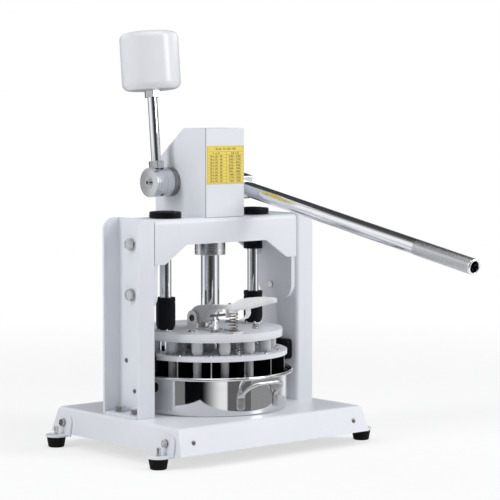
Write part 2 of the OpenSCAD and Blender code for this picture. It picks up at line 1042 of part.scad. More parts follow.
module guide_bushes() {
  color("black")
    in_place()
      both_sides()
        translate([col_x, 0, 0])
          difference() {
            union() {
              z_bar(bush_z, bridge_low, bush_d);
              z_bar(bush_z, bridge_top, bush_spigot_d);
            }
            z_bar(bush_z - overrun, bridge_top + overrun, col_d + 2 * run_gap);
          }
}

// Slot that lets the rack through, from the press axis backwards.
module rack_slot(z0, z1) {
  half = pinion_w / 2 + rack_room;
  slab(z0, z1)
    rect(-half, 0, half, rack_pitch_y + addendum + rack_room);
}

module ram_bush() {
  color("silver")
    in_place()
      difference() {
        union() {
          z_bar(bridge_low - ram_bush_h, bridge_low, ram_bush_d);
          z_bar(bridge_low - ram_bush_h, bridge_top, ram_spigot_d);
        }
        z_bar(bridge_low - ram_bush_h - overrun, bridge_top + overrun, ram_d + 2 * run_gap);
        rack_slot(rack_z - rack_room, bridge_top + overrun);
      }
}

// Head

// Section of the head in Y and Z, drawn in by a wall, open below.
module head_section(wall) {
  turn = atan2(slope_drop, slope_run);
  front = -head_front - (wall > 0 ? overrun : 0);
  back = head_back - wall;
  top = head_top - wall;
  low = bridge_top - (wall > 0 ? overrun : 0);
  polygon([
    [front, low], [front, top],
    [head_back - slope_run - wall * tan(turn / 2), top],
    [back, head_top - slope_drop - wall * tan((90 - turn) / 2)], [back, low]
  ]);
}

module head_body() {
  inner = head_w / 2 - head_t;
  color("white")
    in_place()
      difference() {
        union() {
          difference() {
            yz_slab(-head_w / 2, head_w / 2)
              head_section(0);
            yz_slab(-inner, inner)
              head_section(head_t);
          }
          both_sides()
            slab(bridge_top, bridge_top + head_t)
              rect(inner - head_lip, cover_lip - head_front, inner + head_t / 2, head_back - head_t / 2);
        }
        translate([0, shaft_y, shaft_z])
          x_bar(-head_w, head_w, bearing_spigot_d + 2 * fit_gap);
        both_sides()
          for (y = head_screw_ys)
            translate([head_screw_x, y, 0])
              z_bar(bridge_top - overrun, bridge_top + head_t + overrun, screw_d + 2 * fit_gap);
      }
}

module head_cover() {
  lip_x = head_w / 2 - head_t - cover_gap;
  lip_top = head_top - head_t - cover_gap;
  lip_low = bridge_top + head_t + cover_gap;
  color("white")
    in_place() {
      xz_slab(-head_front - cover_t, -head_front)
        rect(-head_w / 2, bridge_top + cover_gap, head_w / 2, head_top);
      both_sides()
        xz_slab(-head_front, cover_lip - head_front)
          rect(lip_x - cover_lip_t, lip_low, lip_x, lip_top);
    }
}

module portion_chart() {
  half = head_w / 2 - chart_edge;
  face = -head_front - cover_t;
  color("gold")
    in_place()
      xz_slab(face - chart_t, face)
        rect(-half, head_top - chart_down - chart_h, half, head_top - chart_down);
}

module head_screws() {
  color("silver")
    in_place()
      both_sides()
        for (y = head_screw_ys)
          translate([head_screw_x, y, bridge_low])
            mirror([0, 0, 1])
              button_screw(screw_d, bridge_t + head_t);
}

// Flange bearing on the right side of the head.
module bearing() {
  inner = head_w / 2 - head_t;
  difference() {
    union() {
      x_bar(head_w / 2, head_w / 2 + bearing_t, bearing_d);
      x_bar(inner, head_w / 2 + bearing_t, bearing_spigot_d);
    }
    x_bar(inner - overrun, head_w, shaft_d + 2 * run_gap);
  }
}

module left_bearing() {
  color("dimgray")
    in_place()
      at_shaft(0)
        mirror([1, 0, 0])
          bearing();
}

module right_bearing() {
  color("dimgray")
    in_place()
      at_shaft(0)
        bearing();
}

// Drive

shaft_left = hub_x + hub_len - hub_washer_t;
shaft_right = hub_x + hub_len;
// Margin of a key from its hub's two faces
key_edge = hub_len * key_edge_share;
key_places = [
  [key_edge - hub_x - hub_len, -hub_x - key_edge],
  [-pinion_w / 2, pinion_w / 2],
  [hub_x + key_edge, hub_x + hub_len - key_edge]
];

// Keys let into the rear of the shaft.
module keys() {
  for (place = key_places)
    translate([place[0], shaft_d / 2 - key_h / 2, -key_w / 2])
      cube([place[1] - place[0], key_h, key_w]);
}

module pinion_shaft() {
  color("silver")
    in_place()
      at_shaft(0)
        difference() {
          x_bar(-shaft_left, shaft_right, shaft_d);
          keys();
          x_bar(-shaft_left - overrun, hub_screw_len - shaft_left, hub_screw_d + 2 * fit_gap);
        }
}

module shaft_keys() {
  color("dimgray")
    in_place()
      at_shaft(0)
        keys();
}

// Half the angle that a tooth fills at a radius, from the involute.
function involute_deg(r) = let (base_r = pinion_r * cos(pressure_angle), a = acos(min(1, base_r / r)))
  tan(a) * 180 / PI - a;
function tooth_half(r) = (tooth_pitch / 2 - backlash) / 2 / pinion_r * 180 / PI
  + involute_deg(pinion_r) - involute_deg(r);

// Outline of the pinion, with one tooth pointing along -X.
module pinion_outline() {
  root = pinion_r - dedendum;
  tip = pinion_r + addendum;
  radii = [for (i = [0 : flank_steps]) root + (tip - root) * i / flank_steps];
  polygon([
    for (k = [0 : pinion_teeth - 1])
      each concat(
        [for (i = [0 : flank_steps]) polar(radii[i], 180 + 360 * k / pinion_teeth - tooth_half(radii[i]))],
        [for (i = [flank_steps : -1 : 0])
          polar(radii[i], 180 + 360 * k / pinion_teeth + tooth_half(radii[i]))]
      )
  ]);
}

module pinion() {
  inner = head_w / 2 - head_t - move_gap;
  color("darkgray")
    in_place()
      at_shaft(0)
        difference() {
          union() {
            yz_slab(-pinion_w / 2, pinion_w / 2)
              pinion_outline();
            x_bar(-inner, inner, pinion_boss_d);
          }
          x_bar(-head_w, head_w, shaft_d + 2 * fit_gap);
          keys();
        }
}

module weight_hub() {
  color("silver")
    in_place()
      difference() {
        at_shaft(0)
          x_bar(-hub_x - hub_len, -hub_x, hub_d);
        at_shaft(0) {
          x_bar(-shaft_left - overrun, overrun - hub_x, shaft_d + 2 * fit_gap);
          x_bar(-hub_x - hub_len - overrun, -shaft_left, hub_washer_d + 2 * fit_gap);
          keys();
        }
        at_shaft(-weight_lean)
          translate([-hub_x - hub_len / 2, 0, 0]) {
            z_bar(shaft_d / 2, hub_d, rod_d + 2 * fit_gap);
            z_bar(hub_d / 2 - rod_seat, hub_d, rod_nut_af / cos(30) + 2 * rod_seat);
          }
        at_shaft(-set_screw_lean)
          translate([-hub_x - hub_len / 2, 0, 0])
            mirror([0, 0, 1])
              z_bar(shaft_d / 2, hub_d, set_screw_d + 2 * fit_gap);
      }
}

// Socket head screw and washer that hold the weight's hub on the shaft.
module hub_screw() {
  color("silver")
    in_place()
      at_shaft(0)
        translate([-hub_x - hub_len, 0, 0])
          difference() {
            union() {
              x_bar(0, hub_washer_t, hub_washer_d);
              x_bar(-hub_screw_h, hub_washer_t, hub_screw_head_d);
              x_bar(0, hub_washer_t + hub_screw_len, hub_screw_d);
            }
            translate([-hub_screw_h - overrun, 0, 0])
              rotate([0, 90, 0])
                cylinder(d = hub_socket_d, h = hub_screw_h, $fn = 6);
          }
}

module set_screws() {
  color("dimgray")
    in_place() {
      at_shaft(-set_screw_lean)
        translate([-hub_x - hub_len / 2, 0, 0])
          mirror([0, 0, 1])
            z_bar(shaft_d / 2 + fit_gap, hub_d / 2 - 2 * rod_seat, set_screw_d);
      at_shaft(lever_drop)
        for (share = lever_screw_shares)
          translate([hub_x + hub_len / 2, -share * lever_hub_front, 0])
            z_bar(lever_d / 2 + rod_seat, lever_hub_h / 2 - rod_seat, set_screw_d);
    }
}

module weight_rod() {
  color("silver")
    in_place()
      at_shaft(-weight_lean)
        translate([-hub_x - hub_len / 2, 0, 0])
          z_bar(shaft_d / 2 + rod_seat, weight_arm - weight_h / 2 + weight_bore, rod_d);
}

module rod_nuts() {
  color("silver")
    in_place()
      at_shaft(-weight_lean)
        translate([-hub_x - hub_len / 2, 0, 0])
          for (z = [hub_d / 2 - rod_seat, weight_arm - weight_h / 2 - rod_nut_h])
            translate([0, 0, z])
              difference() {
                cylinder(d = rod_nut_af / cos(30), h = rod_nut_h, $fn = 6);
                z_bar(-overrun, rod_nut_h + overrun, rod_d + 2 * fit_gap);
              }
}

module counterweight() {
  low = weight_arm - weight_h / 2;
  color("white")
    in_place()
      at_shaft(-weight_lean)
        translate([-hub_x - hub_len / 2, 0, 0])
          difference() {
            rotate_extrude()
              intersection() {
                round_rect(-weight_d / 2, low, weight_d / 2, low + weight_h, weight_r);
                rect(0, low, weight_d, low + weight_h);
              }
            z_bar(low - overrun, low + weight_bore + rod_seat, rod_d + 2 * fit_gap);
          }
}

lever_socket = shaft_d / 2 + lever_socket_wall;

module lever_hub() {
  color("silver")
    in_place()
      difference() {
        at_shaft(lever_drop)
          yz_slab(hub_x, hub_x + hub_len)
            round_rect(-lever_hub_front, -lever_hub_h / 2, lever_hub_rear, lever_hub_h / 2, hub_edge_r);
        at_shaft(0) {
          x_bar(0, shaft_right + overrun, shaft_d + 2 * fit_gap);
          keys();
        }
        at_shaft(lever_drop)
          translate([hub_x + hub_len / 2, 0, 0]) {
            rotate([90, 0, 0])
              z_bar(lever_socket, lever_hub_front + overrun, lever_d + 2 * fit_gap);
            for (share = lever_screw_shares)
              translate([0, -share * lever_hub_front, 0])
                z_bar(0, lever_hub_h, set_screw_d + 2 * fit_gap);
          }
      }
}

module lever_tube() {
  color("silver")
    in_place()
      at_shaft(lever_drop)
        translate([hub_x + hub_len / 2, 0, 0])
          rotate([90, 0, 0])
            difference() {
              z_bar(lever_socket + rod_seat, lever_len, lever_d);
              z_bar(lever_socket, lever_len + overrun, lever_bore);
            }
}

// Ram and columns

pawl_y = -(ram_d / 2 + move_gap);
pawl_z = latch_z + pawl_up;

module ram() {
  groove_z = pawl_z - press_travel;
  color("silver")
    in_place()
      difference() {
        union() {
          z_bar(carrier_top, ram_top, ram_d);
          z_bar(carrier_top - ram_spigot_len, ram_top, ram_foot_d);
        }
        slab(rack_z, ram_top + overrun)
          rect(-ram_d, rack_seat_y, ram_d, ram_d);
        slab(groove_z - move_gap, groove_z + pawl_h + move_gap)
          difference() {
            circle(d = ram_d + 2 * overrun);
            circle(d = ram_d - 2 * groove_depth);
          }
      }
}

// Outline of the rack in Y and Z, with a gap between teeth level with the shaft.
module rack_outline() {
  root = rack_pitch_y - dedendum;
  tip = rack_pitch_y + addendum;
  teeth = ceil((ram_top - rack_z) / tooth_pitch) + 1;
  root_half = tooth_pitch / 4 - backlash / 2 + dedendum * tan(pressure_angle);
  tip_half = tooth_pitch / 4 - backlash / 2 - addendum * tan(pressure_angle);
  intersection() {
    rect(0, rack_z, tip, ram_top);
    union() {
      rect(rack_seat_y, rack_z, root, ram_top);
      for (k = [-teeth : teeth])
        translate([0, shaft_z + (k + 0.5) * tooth_pitch])
          polygon([
            [rack_seat_y, -root_half], [root, -root_half], [tip, -tip_half],
            [tip, tip_half], [root, root_half], [rack_seat_y, root_half]
          ]);
    }
  }
}

module rack() {
  color("darkgray")
    in_place()
      yz_slab(-pinion_w / 2, pinion_w / 2)
        rack_outline();
}

module guide_columns() {
  color("silver")
    in_place()
      both_sides()
        translate([col_x, 0, 0])
          z_bar(carrier_z, cap_top - cap_top_t, col_d);
}

module column_caps() {
  color("black")
    in_place()
      both_sides()
        translate([col_x, 0, 0])
          difference() {
            union() {
              z_bar(cap_z, cap_top - cap_boss_h, cap_d);
              z_bar(cap_z, cap_top, cap_boss_d);
            }
            z_bar(cap_z - overrun, cap_top - cap_top_t, col_d + 2 * fit_gap);
          }
}

module column_sleeves() {
  color("black")
    in_place()
      both_sides()
        translate([col_x, 0, 0])
          difference() {
            union() {
              translate([0, 0, sleeve_z])
                cylinder(d1 = sleeve_d - sleeve_edge, d2 = sleeve_d, h = 3 * sleeve_edge);
              z_bar(sleeve_z + 3 * sleeve_edge, sleeve_top, sleeve_d);
            }
            z_bar(sleeve_z - overrun, sleeve_top + overrun, col_d + 2 * fit_gap);
          }
}

module column_nuts() {
  color("silver")
    in_place()
      both_sides()
        translate([col_x, 0, sleeve_z - col_nut_h])
          difference() {
            cylinder(d = col_nut_af / cos(30), h = col_nut_h, $fn = 6);
            z_bar(-overrun, col_nut_h + overrun, col_d + 2 * fit_gap);
          }
}

// Knives and press plate

// Places every post of the outer and inner cells.
module each_post() {
  for (k = [0 : outer_cells - 1])
    rotate([0, 0, (k + 0.5) * cell_angle])
      translate([post_ring_r, 0, 0])
        children();
  for (k = [0 : inner_cells - 1])
    rotate([0, 0, (k + 0.5) * 360 / inner_cells])
      translate([inner_post_r, 0, 0])
        children();
}

module each_spring() {
  for (k = spring_knives)
    rotate([0, 0, k * cell_angle])
      translate([post_ring_r, 0, 0])
        children();
}

module each_carrier_screw() {
  for (k = [0 : outer_cells - 1])
    rotate([0, 0, k * cell_angle])
      translate([carrier_screw_r, 0, 0])
        children();
}

module knife_carrier() {
  color("white")
    in_place()
      difference() {
        z_bar(carrier_z, carrier_top, 2 * carrier_r);
        each_post()
          z_bar(carrier_z - overrun, carrier_top + overrun, post_d + 2 * post_room);
        each_spring()
          z_bar(carrier_z + carrier_t / 3, carrier_top + overrun, spring_pin_d + 2 * fit_gap);
        each_carrier_screw()
          z_bar(carrier_z + carrier_t / 3, carrier_top + overrun, screw_d + 2 * fit_gap);
        both_sides()
          translate([col_x, 0, 0])
            z_bar(carrier_z - overrun, carrier_top + overrun, col_d + 2 * fit_gap);
        z_bar(carrier_z - overrun, carrier_top + overrun, ram_foot_d + 2 * fit_gap);
      }
}

// Section of a knife, upright, with its lower edge ground thin.
module knife_section() {
  polygon([
    [-edge_t / 2, knife_z], [edge_t / 2, knife_z], [knife_t / 2, knife_z + edge_h],
    [knife_t / 2, carrier_z], [-knife_t / 2, carrier_z], [-knife_t / 2, knife_z + edge_h]
  ]);
}

// Room that the outer knives fill, with its lower corner cut back to lead the knives into the pan.
module knife_room() {
  translate([0, 0, knife_z])
    cylinder(r1 = knife_r - knife_lead, r2 = knife_r, h = knife_lead, $fn = ring_steps);
  translate([0, 0, knife_z + knife_lead])
    cylinder(r = knife_r, h = knife_h - knife_lead, $fn = ring_steps);
}

module radial_knives() {
  color("silver")
    in_place()
      intersection() {
        for (k = [0 : outer_cells - 1])
          rotate([0, 0, k * cell_angle])
            yz_slab(ring_r + knife_t / 2, pan_r)
              knife_section();
        knife_room();
      }
}

module ring_knife() {
  color("silver")
    in_place()
      rotate_extrude($fn = ring_steps)
        translate([ring_r, 0])
          knife_section();
}

module cross_knives() {
  color("silver")
    in_place()
      for (k = [0 : inner_cells - 1])
        rotate([0, 0, k * 360 / inner_cells])
          yz_slab(knife_t / 2, ring_r - knife_t / 2 - fit_gap)
            knife_section();
}

module carrier_screws() {
  color("silver")
    in_place()
      each_carrier_screw()
        translate([0, 0, carrier_top])
          button_screw(screw_d, carrier_t / 2);
}

module spring_pins() {
  color("silver")
    in_place()
      each_spring()
        z_bar(carrier_z + carrier_t / 3, carrier_top + spring_pin_h, spring_pin_d);
}

module press_plate() {
  color("white")
    in_place()
      difference() {
        z_bar(plate_z, plate_top, 2 * plate_r);
        plate_holes(plate_z, plate_top);
        each_plate_screw()
          z_bar(plate_z - overrun, plate_top + overrun, screw_d + 2 * fit_gap);
        for (share = latch_screw_shares)
          translate([latch_x, share * latch_spring_y, 0])
            z_bar(plate_top - plate_t / 2, plate_top + overrun, screw_d + 2 * fit_gap);
      }
}

// Holes for the ram and the columns.
module plate_holes(z0, z1) {
  z_bar(z0 - overrun, z1 + overrun, ram_d + 2 * move_gap);
  both_sides()
    translate([col_x, 0, 0])
      z_bar(z0 - overrun, z1 + overrun, col_d + 2 * run_gap);
}

module each_plate_screw() {
  for (a = plate_screw_angles, side = [-1, 1])
    rotate([0, 0, a * side])
      translate([plate_screw_r, 0, 0])
        children();
}

module press_liner() {
  color("white")
    in_place()
      difference() {
        z_bar(liner_z, plate_z, 2 * plate_r);
        plate_holes(liner_z, plate_z);
        each_plate_screw()
          z_bar(plate_z - liner_t / 2, plate_z + overrun, screw_d + 2 * fit_gap);
      }
}

module plate_screws() {
  color("silver")
    in_place() {
      each_plate_screw()
        translate([0, 0, plate_top])
          button_screw(screw_d, plate_t + liner_t / 2);
      for (share = latch_screw_shares)
        translate([latch_x, share * latch_spring_y, latch_floor_z])
          button_screw(screw_d, latch_floor_t + plate_t / 2);
    }
}

module press_posts() {
  neck_top = carrier_top;
  color("whitesmoke")
    in_place()
      each_post() {
        z_bar(block_z + block_h, neck_top, post_neck_d);
        translate([0, 0, neck_top])
          cylinder(d1 = post_neck_d, d2 = post_d, h = post_taper);
        z_bar(neck_top + post_taper, liner_z, post_d);
      }
}

module press_blocks() {
  margin = knife_t / 2 + block_gap;
  color("whitesmoke")
    in_place() {
      for (k = [0 : outer_cells - 1])
        rotate([0, 0, (k + 0.5) * cell_angle])
          slab(block_z, block_z + block_h)
            intersection() {
              difference() {
                circle(knife_r - block_gap, $fn = ring_steps);
                circle(ring_r + margin, $fn = ring_steps);
              }
              wedge(cell_angle / 2, margin, 2 * knife_r);
            }
      for (k = [0 : inner_cells - 1])
        rotate([0, 0, (k + 0.5) * 360 / inner_cells])
          slab(block_z, block_z + block_h)
            intersection() {
              circle(ring_r - margin, $fn = ring_steps);
              wedge(180 / inner_cells, margin, 2 * ring_r);
            }
    }
}

// Springs

coil_rings = 8;
coil_sides = 6;
lead_rings = 3;

// Middle line of a coil spring, its two ends standing upright.
function coil_path(r, wire, turns, h) =
  let (
    bend = wire,
    low = wire + bend,
    rise = h - 2 * low,
    count = turns * coil_rings
  )
  concat(
    [[r, -bend, 0]],
    [for (i = [0 : lead_rings])
      let (a = 90 * i / lead_rings)
      [r, -bend * cos(a), wire + bend * sin(a)]],
    [for (i = [1 : count])
      let (a = 360 * i / coil_rings)
      [r * cos(a), r * sin(a), low + rise * i / count]],
    [for (i = [1 : lead_rings])
      let (a = 90 * i / lead_rings)
      [r, bend * sin(a), low + rise + bend * (1 - cos(a))]],
    [[r, bend, h]]
  );

function unit(v) = v / norm(v);

// Direction of a path at one of its points.
function heading(path, i) =
  unit(path[min(i + 1, len(path) - 1)] - path[max(i - 1, 0)]);

// Ring of points round a path at one of its points.
function wire_ring(path, i, wire) =
  let (
    t = heading(path, i),
    out = [path[i][0], path[i][1], 0],
    n = unit(out - (out * t) * t),
    b = cross(t, n)
  )
  [for (k = [0 : coil_sides - 1])
    path[i] + wire / 2 * (cos(360 * k / coil_sides) * n + sin(360 * k / coil_sides) * b)];

// Least gap between stretches of the wire that are a half turn or more apart.
function least_gap(path, wire) =
  min([for (i = [0 : len(path) - 1], j = [i + coil_rings / 2 : 1 : len(path) - 1])
    norm(path[i] - path[j])]) - wire;

module coil(path, wire) {
  rings = len(path);
  points = [for (i = [0 : rings - 1]) each wire_ring(path, i, wire)];
  sides = [
    for (i = [0 : rings - 2], k = [0 : coil_sides - 1])
      let (
        a = i * coil_sides + k,
        b = i * coil_sides + (k + 1) % coil_sides
      )
      each [[a, b, b + coil_sides], [a, b + coil_sides, a + coil_sides]]
  ];
  low_end = [for (k = [1 : coil_sides - 2]) [0, k + 1, k]];
  top = (rings - 1) * coil_sides;
  top_end = [for (k = [1 : coil_sides - 2]) [top, top + k, top + k + 1]];
  mirror([0, 1, 0])
    polyhedron(points, concat(sides, low_end, top_end));
}

return_path = coil_path(spring_d / 2, spring_wire, spring_turns, plate_gap - 2 * move_gap);
latch_path = coil_path(latch_spring_d / 2, latch_wire, latch_turns,
  latch_seat_z - latch_floor_z - 2 * move_gap);
echo(return_spring_least_gap = least_gap(return_path, spring_wire));
echo(latch_spring_least_gap = least_gap(latch_path, latch_wire));

module return_springs() {
  color("silver")
    in_place()
      each_spring()
        translate([0, 0, carrier_top + move_gap])
          coil(return_path, spring_wire);
}

module latch_spring() {
  color("peru")
    in_place()
      translate([latch_x, latch_spring_y, latch_floor_z + move_gap])
        coil(latch_path, latch_wire);
}

// Latch

module latch_bracket() {
  color("gainsboro")
    in_place()
      translate([latch_x, 0, 0])
        difference() {
          union() {
            slab(plate_top, latch_floor_z)
              rect(-latch_w / 2, -latch_front, latch_w / 2, latch_rear);
            both_sides()
              yz_slab(latch_w / 2 - lug_t, latch_w / 2)
                union() {
                  rect(-lug_r, plate_top, lug_r, latch_z);
                  translate([0, latch_z])
                    circle(lug_r);
                }
          }
          translate([0, 0, latch_z])
            x_bar(-latch_w, latch_w, latch_pin_d + 2 * fit_gap);
          for (share = latch_screw_shares)
            translate([0, share * latch_spring_y, 0])
              z_bar(plate_top - overrun, latch_floor_z + overrun, screw_d * hole_share);
        }
}

module latch_pin() {
  color("dimgray")
    in_place()
      translate([latch_x, 0, latch_z])
        x_bar(-latch_w / 2, latch_w / 2, latch_pin_d);
}

// Side outline of the latch lever about its pin, in Y and Z.
module latch_outline(drop) {
  polygon([for (p = latch_shares) [-p[0] * latch_len, latch_z + p[1] * latch_rise - drop]]);
}

module latch_lever() {
  paddle_y = -paddle_share * latch_len;
  far = -latch_len - overrun;
  lug_y = -latch_lug_share * latch_len;
  lug_z = latch_z - lug_y * tan(latch_rod_angle);
  color("gainsboro")
    in_place()
      difference() {
        translate([latch_x, 0, 0])
          union() {
            translate([0, 0, latch_z])
              x_bar(-latch_hub_w / 2, latch_hub_w / 2, 2 * latch_hub_r);
            yz_slab(-arm_w / 2, arm_w / 2)
              latch_outline(0);
            intersection() {
              difference() {
                yz_slab(-paddle_w / 2, paddle_w / 2)
                  latch_outline(0);
                yz_slab(paddle_wall - paddle_w / 2, paddle_w / 2 - paddle_wall)
                  latch_outline(paddle_wall);
              }
              yz_slab(-paddle_w, paddle_w)
                rect(far, 0, paddle_y, 2 * latch_z);
            }
            yz_slab(-latch_lug_w / 2, latch_lug_w / 2)
              rect(lug_y - latch_lug_t, lug_z - latch_lug_drop, lug_y,
                latch_z + latch_rise / 2);
            translate([0, latch_spring_y, 0])
              z_bar(latch_seat_z, latch_z + latch_rise / 2, latch_seat_d);
            yz_slab(0, pawl_over - latch_x)
              rect(pawl_y - pawl_d, pawl_z, pawl_y, pawl_z + pawl_h);
          }
        translate([latch_x, 0, latch_z]) {
          x_bar(-latch_w, latch_w, latch_pin_d + 2 * run_gap);
          rotate([-latch_rod_angle, 0, 0])
            rotate([90, 0, 0])
              z_bar(latch_hub_r - latch_rod_in, latch_len / 2, latch_rod_d + 2 * fit_gap);
        }
      }
}

module latch_rod() {
  reach = latch_lug_share * latch_len + latch_lug_t;
  color("gray")
    in_place()
      translate([latch_x, 0, latch_z])
        rotate([-latch_rod_angle, 0, 0])
          rotate([90, 0, 0])
            z_bar(latch_hub_r - latch_rod_in, reach, latch_rod_d);
}

// Pan

// Half section of the pan's wall, rim and rolled edge about its axis.
module pan_section() {
  inner_r = pan_r - pan_t;
  bead_r = bead_d / 2;
  rim_z = pan_h - bead_r;
  rect(inner_r, 0, pan_r, rim_z);
  rect(inner_r, rim_z - pan_t / 2, rim_r - bead_r, rim_z + pan_t / 2);
  translate([rim_r - bead_r, rim_z])
    circle(bead_r);
}

module pan() {
  color("lightgray")
    in_place()
      translate([0, 0, pan_z])
        rotate_extrude($fn = ring_steps)
          pan_section();
}

// The pan's round floor, let into the wall's lower end.
module pan_floor() {
  color("lightgray")
    in_place()
      translate([0, 0, pan_z])
        cylinder(r = pan_r - pan_t - fit_gap, h = pan_t, $fn = ring_steps);
}

// The angle of a handle's tab from the handle's middle.
tab_angle = asin(handle_w / 2 / pan_r);
tab_z = pan_z + tab_up;

// Places the four tabs, each with its own -Y pointing out of the pan's wall.
module each_tab() {
  for (turn = [0, 180], side = [-1, 1])
    rotate([0, 0, turn + side * tab_angle])
      translate([0, -pan_r - fit_gap, 0])
        children();
}

module bail() {
  half = handle_w / 2;
  start_y = -pan_r * cos(tab_angle) - tab_t;
  run = pan_r + handle_reach - handle_rod_d / 2 + start_y;
  slant = atan2(handle_rise, run);
  leg = run / cos(slant);
  translate([0, start_y, tab_z + tab_h - handle_rod_d / 2])
    rotate([-slant, 0, 0])
      rotate([90, 0, 0]) {
        both_sides() {
          translate([half, 0, 0])
            z_bar(0, leg - handle_bend_r, handle_rod_d);
          translate([half - handle_bend_r, 0, leg - handle_bend_r])
            rotate([90, 0, 0])
              rotate_extrude(angle = 90)
                translate([handle_bend_r, 0])
                  circle(d = handle_rod_d);
        }
        translate([0, 0, leg])
          x_bar(handle_bend_r - half, half - handle_bend_r, handle_rod_d);
      }
}

module pan_handles() {
  color("silver")
    in_place()
      difference() {
        union() {
          each_tab()
            xz_slab(-tab_t, 0)
              round_rect(-tab_w / 2, tab_z, tab_w / 2, tab_z + tab_h, tab_w / 4);
          for (turn = [0, 180])
            rotate([0, 0, turn])
              bail();
        }
        each_tab()
          each_rivet(tab_t + overrun, rivet_d + 2 * fit_gap);
        z_bar(0, bridge_top, 2 * (pan_r + fit_gap / 2));
      }
}

// Two rivets, one above the other, from the wall outwards.
module each_rivet(reach, d) {
  for (z = [-rivet_step / 2, rivet_step / 2])
    translate([0, 0, tab_z + tab_h / 2 - rivet_d / 2 + z])
      rotate([90, 0, 0])
        z_bar(0, reach, d);
}

module pan_rivets() {
  color("silver")
    in_place()
      each_tab() {
        each_rivet(tab_t, rivet_d);
        translate([0, -tab_t, 0])
          each_rivet(rivet_h, rivet_d + rivet_h);
      }
}

base_plate();
foot_brackets();
bracket_bolts();
foot_studs();
rubber_feet();
left_upright();
right_upright();
frame_bolts();
frame_nuts();
small_screws();
bridge();
head_body();
head_cover();
portion_chart();
head_screws();
left_bearing();
right_bearing();
ram_bush();
guide_bushes();
guide_pads();
pan_bumpers();
pinion_shaft();
pinion();
shaft_keys();
weight_hub();
hub_screw();
set_screws();
weight_rod();
rod_nuts();
counterweight();
lever_hub();
lever_tube();
ram();
rack();
guide_columns();
column_caps();
column_sleeves();
column_nuts();
knife_carrier();
radial_knives();
ring_knife();
cross_knives();
carrier_screws();
spring_pins();
return_springs();
press_plate();
press_liner();
press_posts();
press_blocks();
plate_screws();
latch_bracket();
latch_lever();
latch_pin();
latch_rod();
latch_spring();
pan();
pan_floor();
pan_handles();
pan_rivets();
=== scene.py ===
"""Looks of a bench-top dough divider with a counterweighted lever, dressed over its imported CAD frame."""

import logging
import math
from dataclasses import dataclass, field
from enum import Enum
from typing import Mapping, Optional, Sequence, Union

import bmesh
import bpy
import numpy as np
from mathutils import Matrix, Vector


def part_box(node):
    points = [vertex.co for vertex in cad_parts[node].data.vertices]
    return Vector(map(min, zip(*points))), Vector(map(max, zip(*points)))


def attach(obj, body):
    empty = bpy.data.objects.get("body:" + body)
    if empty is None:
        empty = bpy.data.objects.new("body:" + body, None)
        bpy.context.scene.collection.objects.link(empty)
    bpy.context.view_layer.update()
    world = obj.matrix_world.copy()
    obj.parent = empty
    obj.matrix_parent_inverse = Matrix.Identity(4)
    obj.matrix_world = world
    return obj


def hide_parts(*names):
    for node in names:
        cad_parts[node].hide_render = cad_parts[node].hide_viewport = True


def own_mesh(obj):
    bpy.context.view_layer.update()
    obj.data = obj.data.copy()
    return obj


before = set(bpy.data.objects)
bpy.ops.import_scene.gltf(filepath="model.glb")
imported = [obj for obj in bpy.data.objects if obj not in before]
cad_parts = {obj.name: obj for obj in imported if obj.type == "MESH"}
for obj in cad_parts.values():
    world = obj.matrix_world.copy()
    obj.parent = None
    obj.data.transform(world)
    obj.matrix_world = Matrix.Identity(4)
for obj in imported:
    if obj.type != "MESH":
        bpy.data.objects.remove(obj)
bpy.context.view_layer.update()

Array = np.ndarray
Colour = tuple[float, float, float]
LOG = logging.getLogger("dough_divider")

# Places shared by all the pieces, in metres
PRESS_Y = 0.210711
SHAFT_Y = 0.270748
SHAFT_Z = 0.5055
HUB_MID_X = 0.0808

# Distance within which a CAD node's points are one, and the angle in degrees within which its triangles make one flat
MERGE = 1e-5
FLAT = 0.4


class Body(str, Enum):
    """The moving bodies of the divider."""

    FRAME = "frame"
    CRANK = "crank"
    CARRIAGE = "carriage"
    PRESS = "press"
    LATCH = "latch"
    PAN = "pan"


# Surfaces on grids


@dataclass
class Sheet:
    """A skinned grid: points, faces, and one (turns round, metres along) pair for each face corner."""

    points: Array
    faces: list[list[int]]
    uv: Array

    def turned(self, angle: float, axis: str = "x") -> "Sheet":
        """The sheet turned about an axis.

        Args:
            angle: the turn in degrees.
            axis: x, y or z.

        Returns:
            The turned sheet.
        """
        c, s = math.cos(math.radians(angle)), math.sin(math.radians(angle))
        turns = {
            "x": [[1, 0, 0], [0, c, -s], [0, s, c]],
            "y": [[c, 0, s], [0, 1, 0], [-s, 0, c]],
            "z": [[c, -s, 0], [s, c, 0], [0, 0, 1]],
        }
        return Sheet(self.points @ np.array(turns[axis]).T, self.faces, self.uv)

    def moved(self, x: float, y: float, z: float) -> "Sheet":
        """The sheet moved by three lengths in metres."""
        return Sheet(self.points + np.array([x, y, z]), self.faces, self.uv)


def joined(sheets: Sequence[Sheet]) -> Sheet:
    """Puts several sheets into one.

    Args:
        sheets: the sheets, none of which share points.

    Returns:
        One sheet that holds them all.
    """
    starts = np.cumsum([0] + [len(s.points) for s in sheets[:-1]])
    faces = [[int(start) + k for k in face] for s, start in zip(sheets, starts) for face in s.faces]
    return Sheet(np.concatenate([s.points for s in sheets]), faces, np.concatenate([s.uv for s in sheets]))


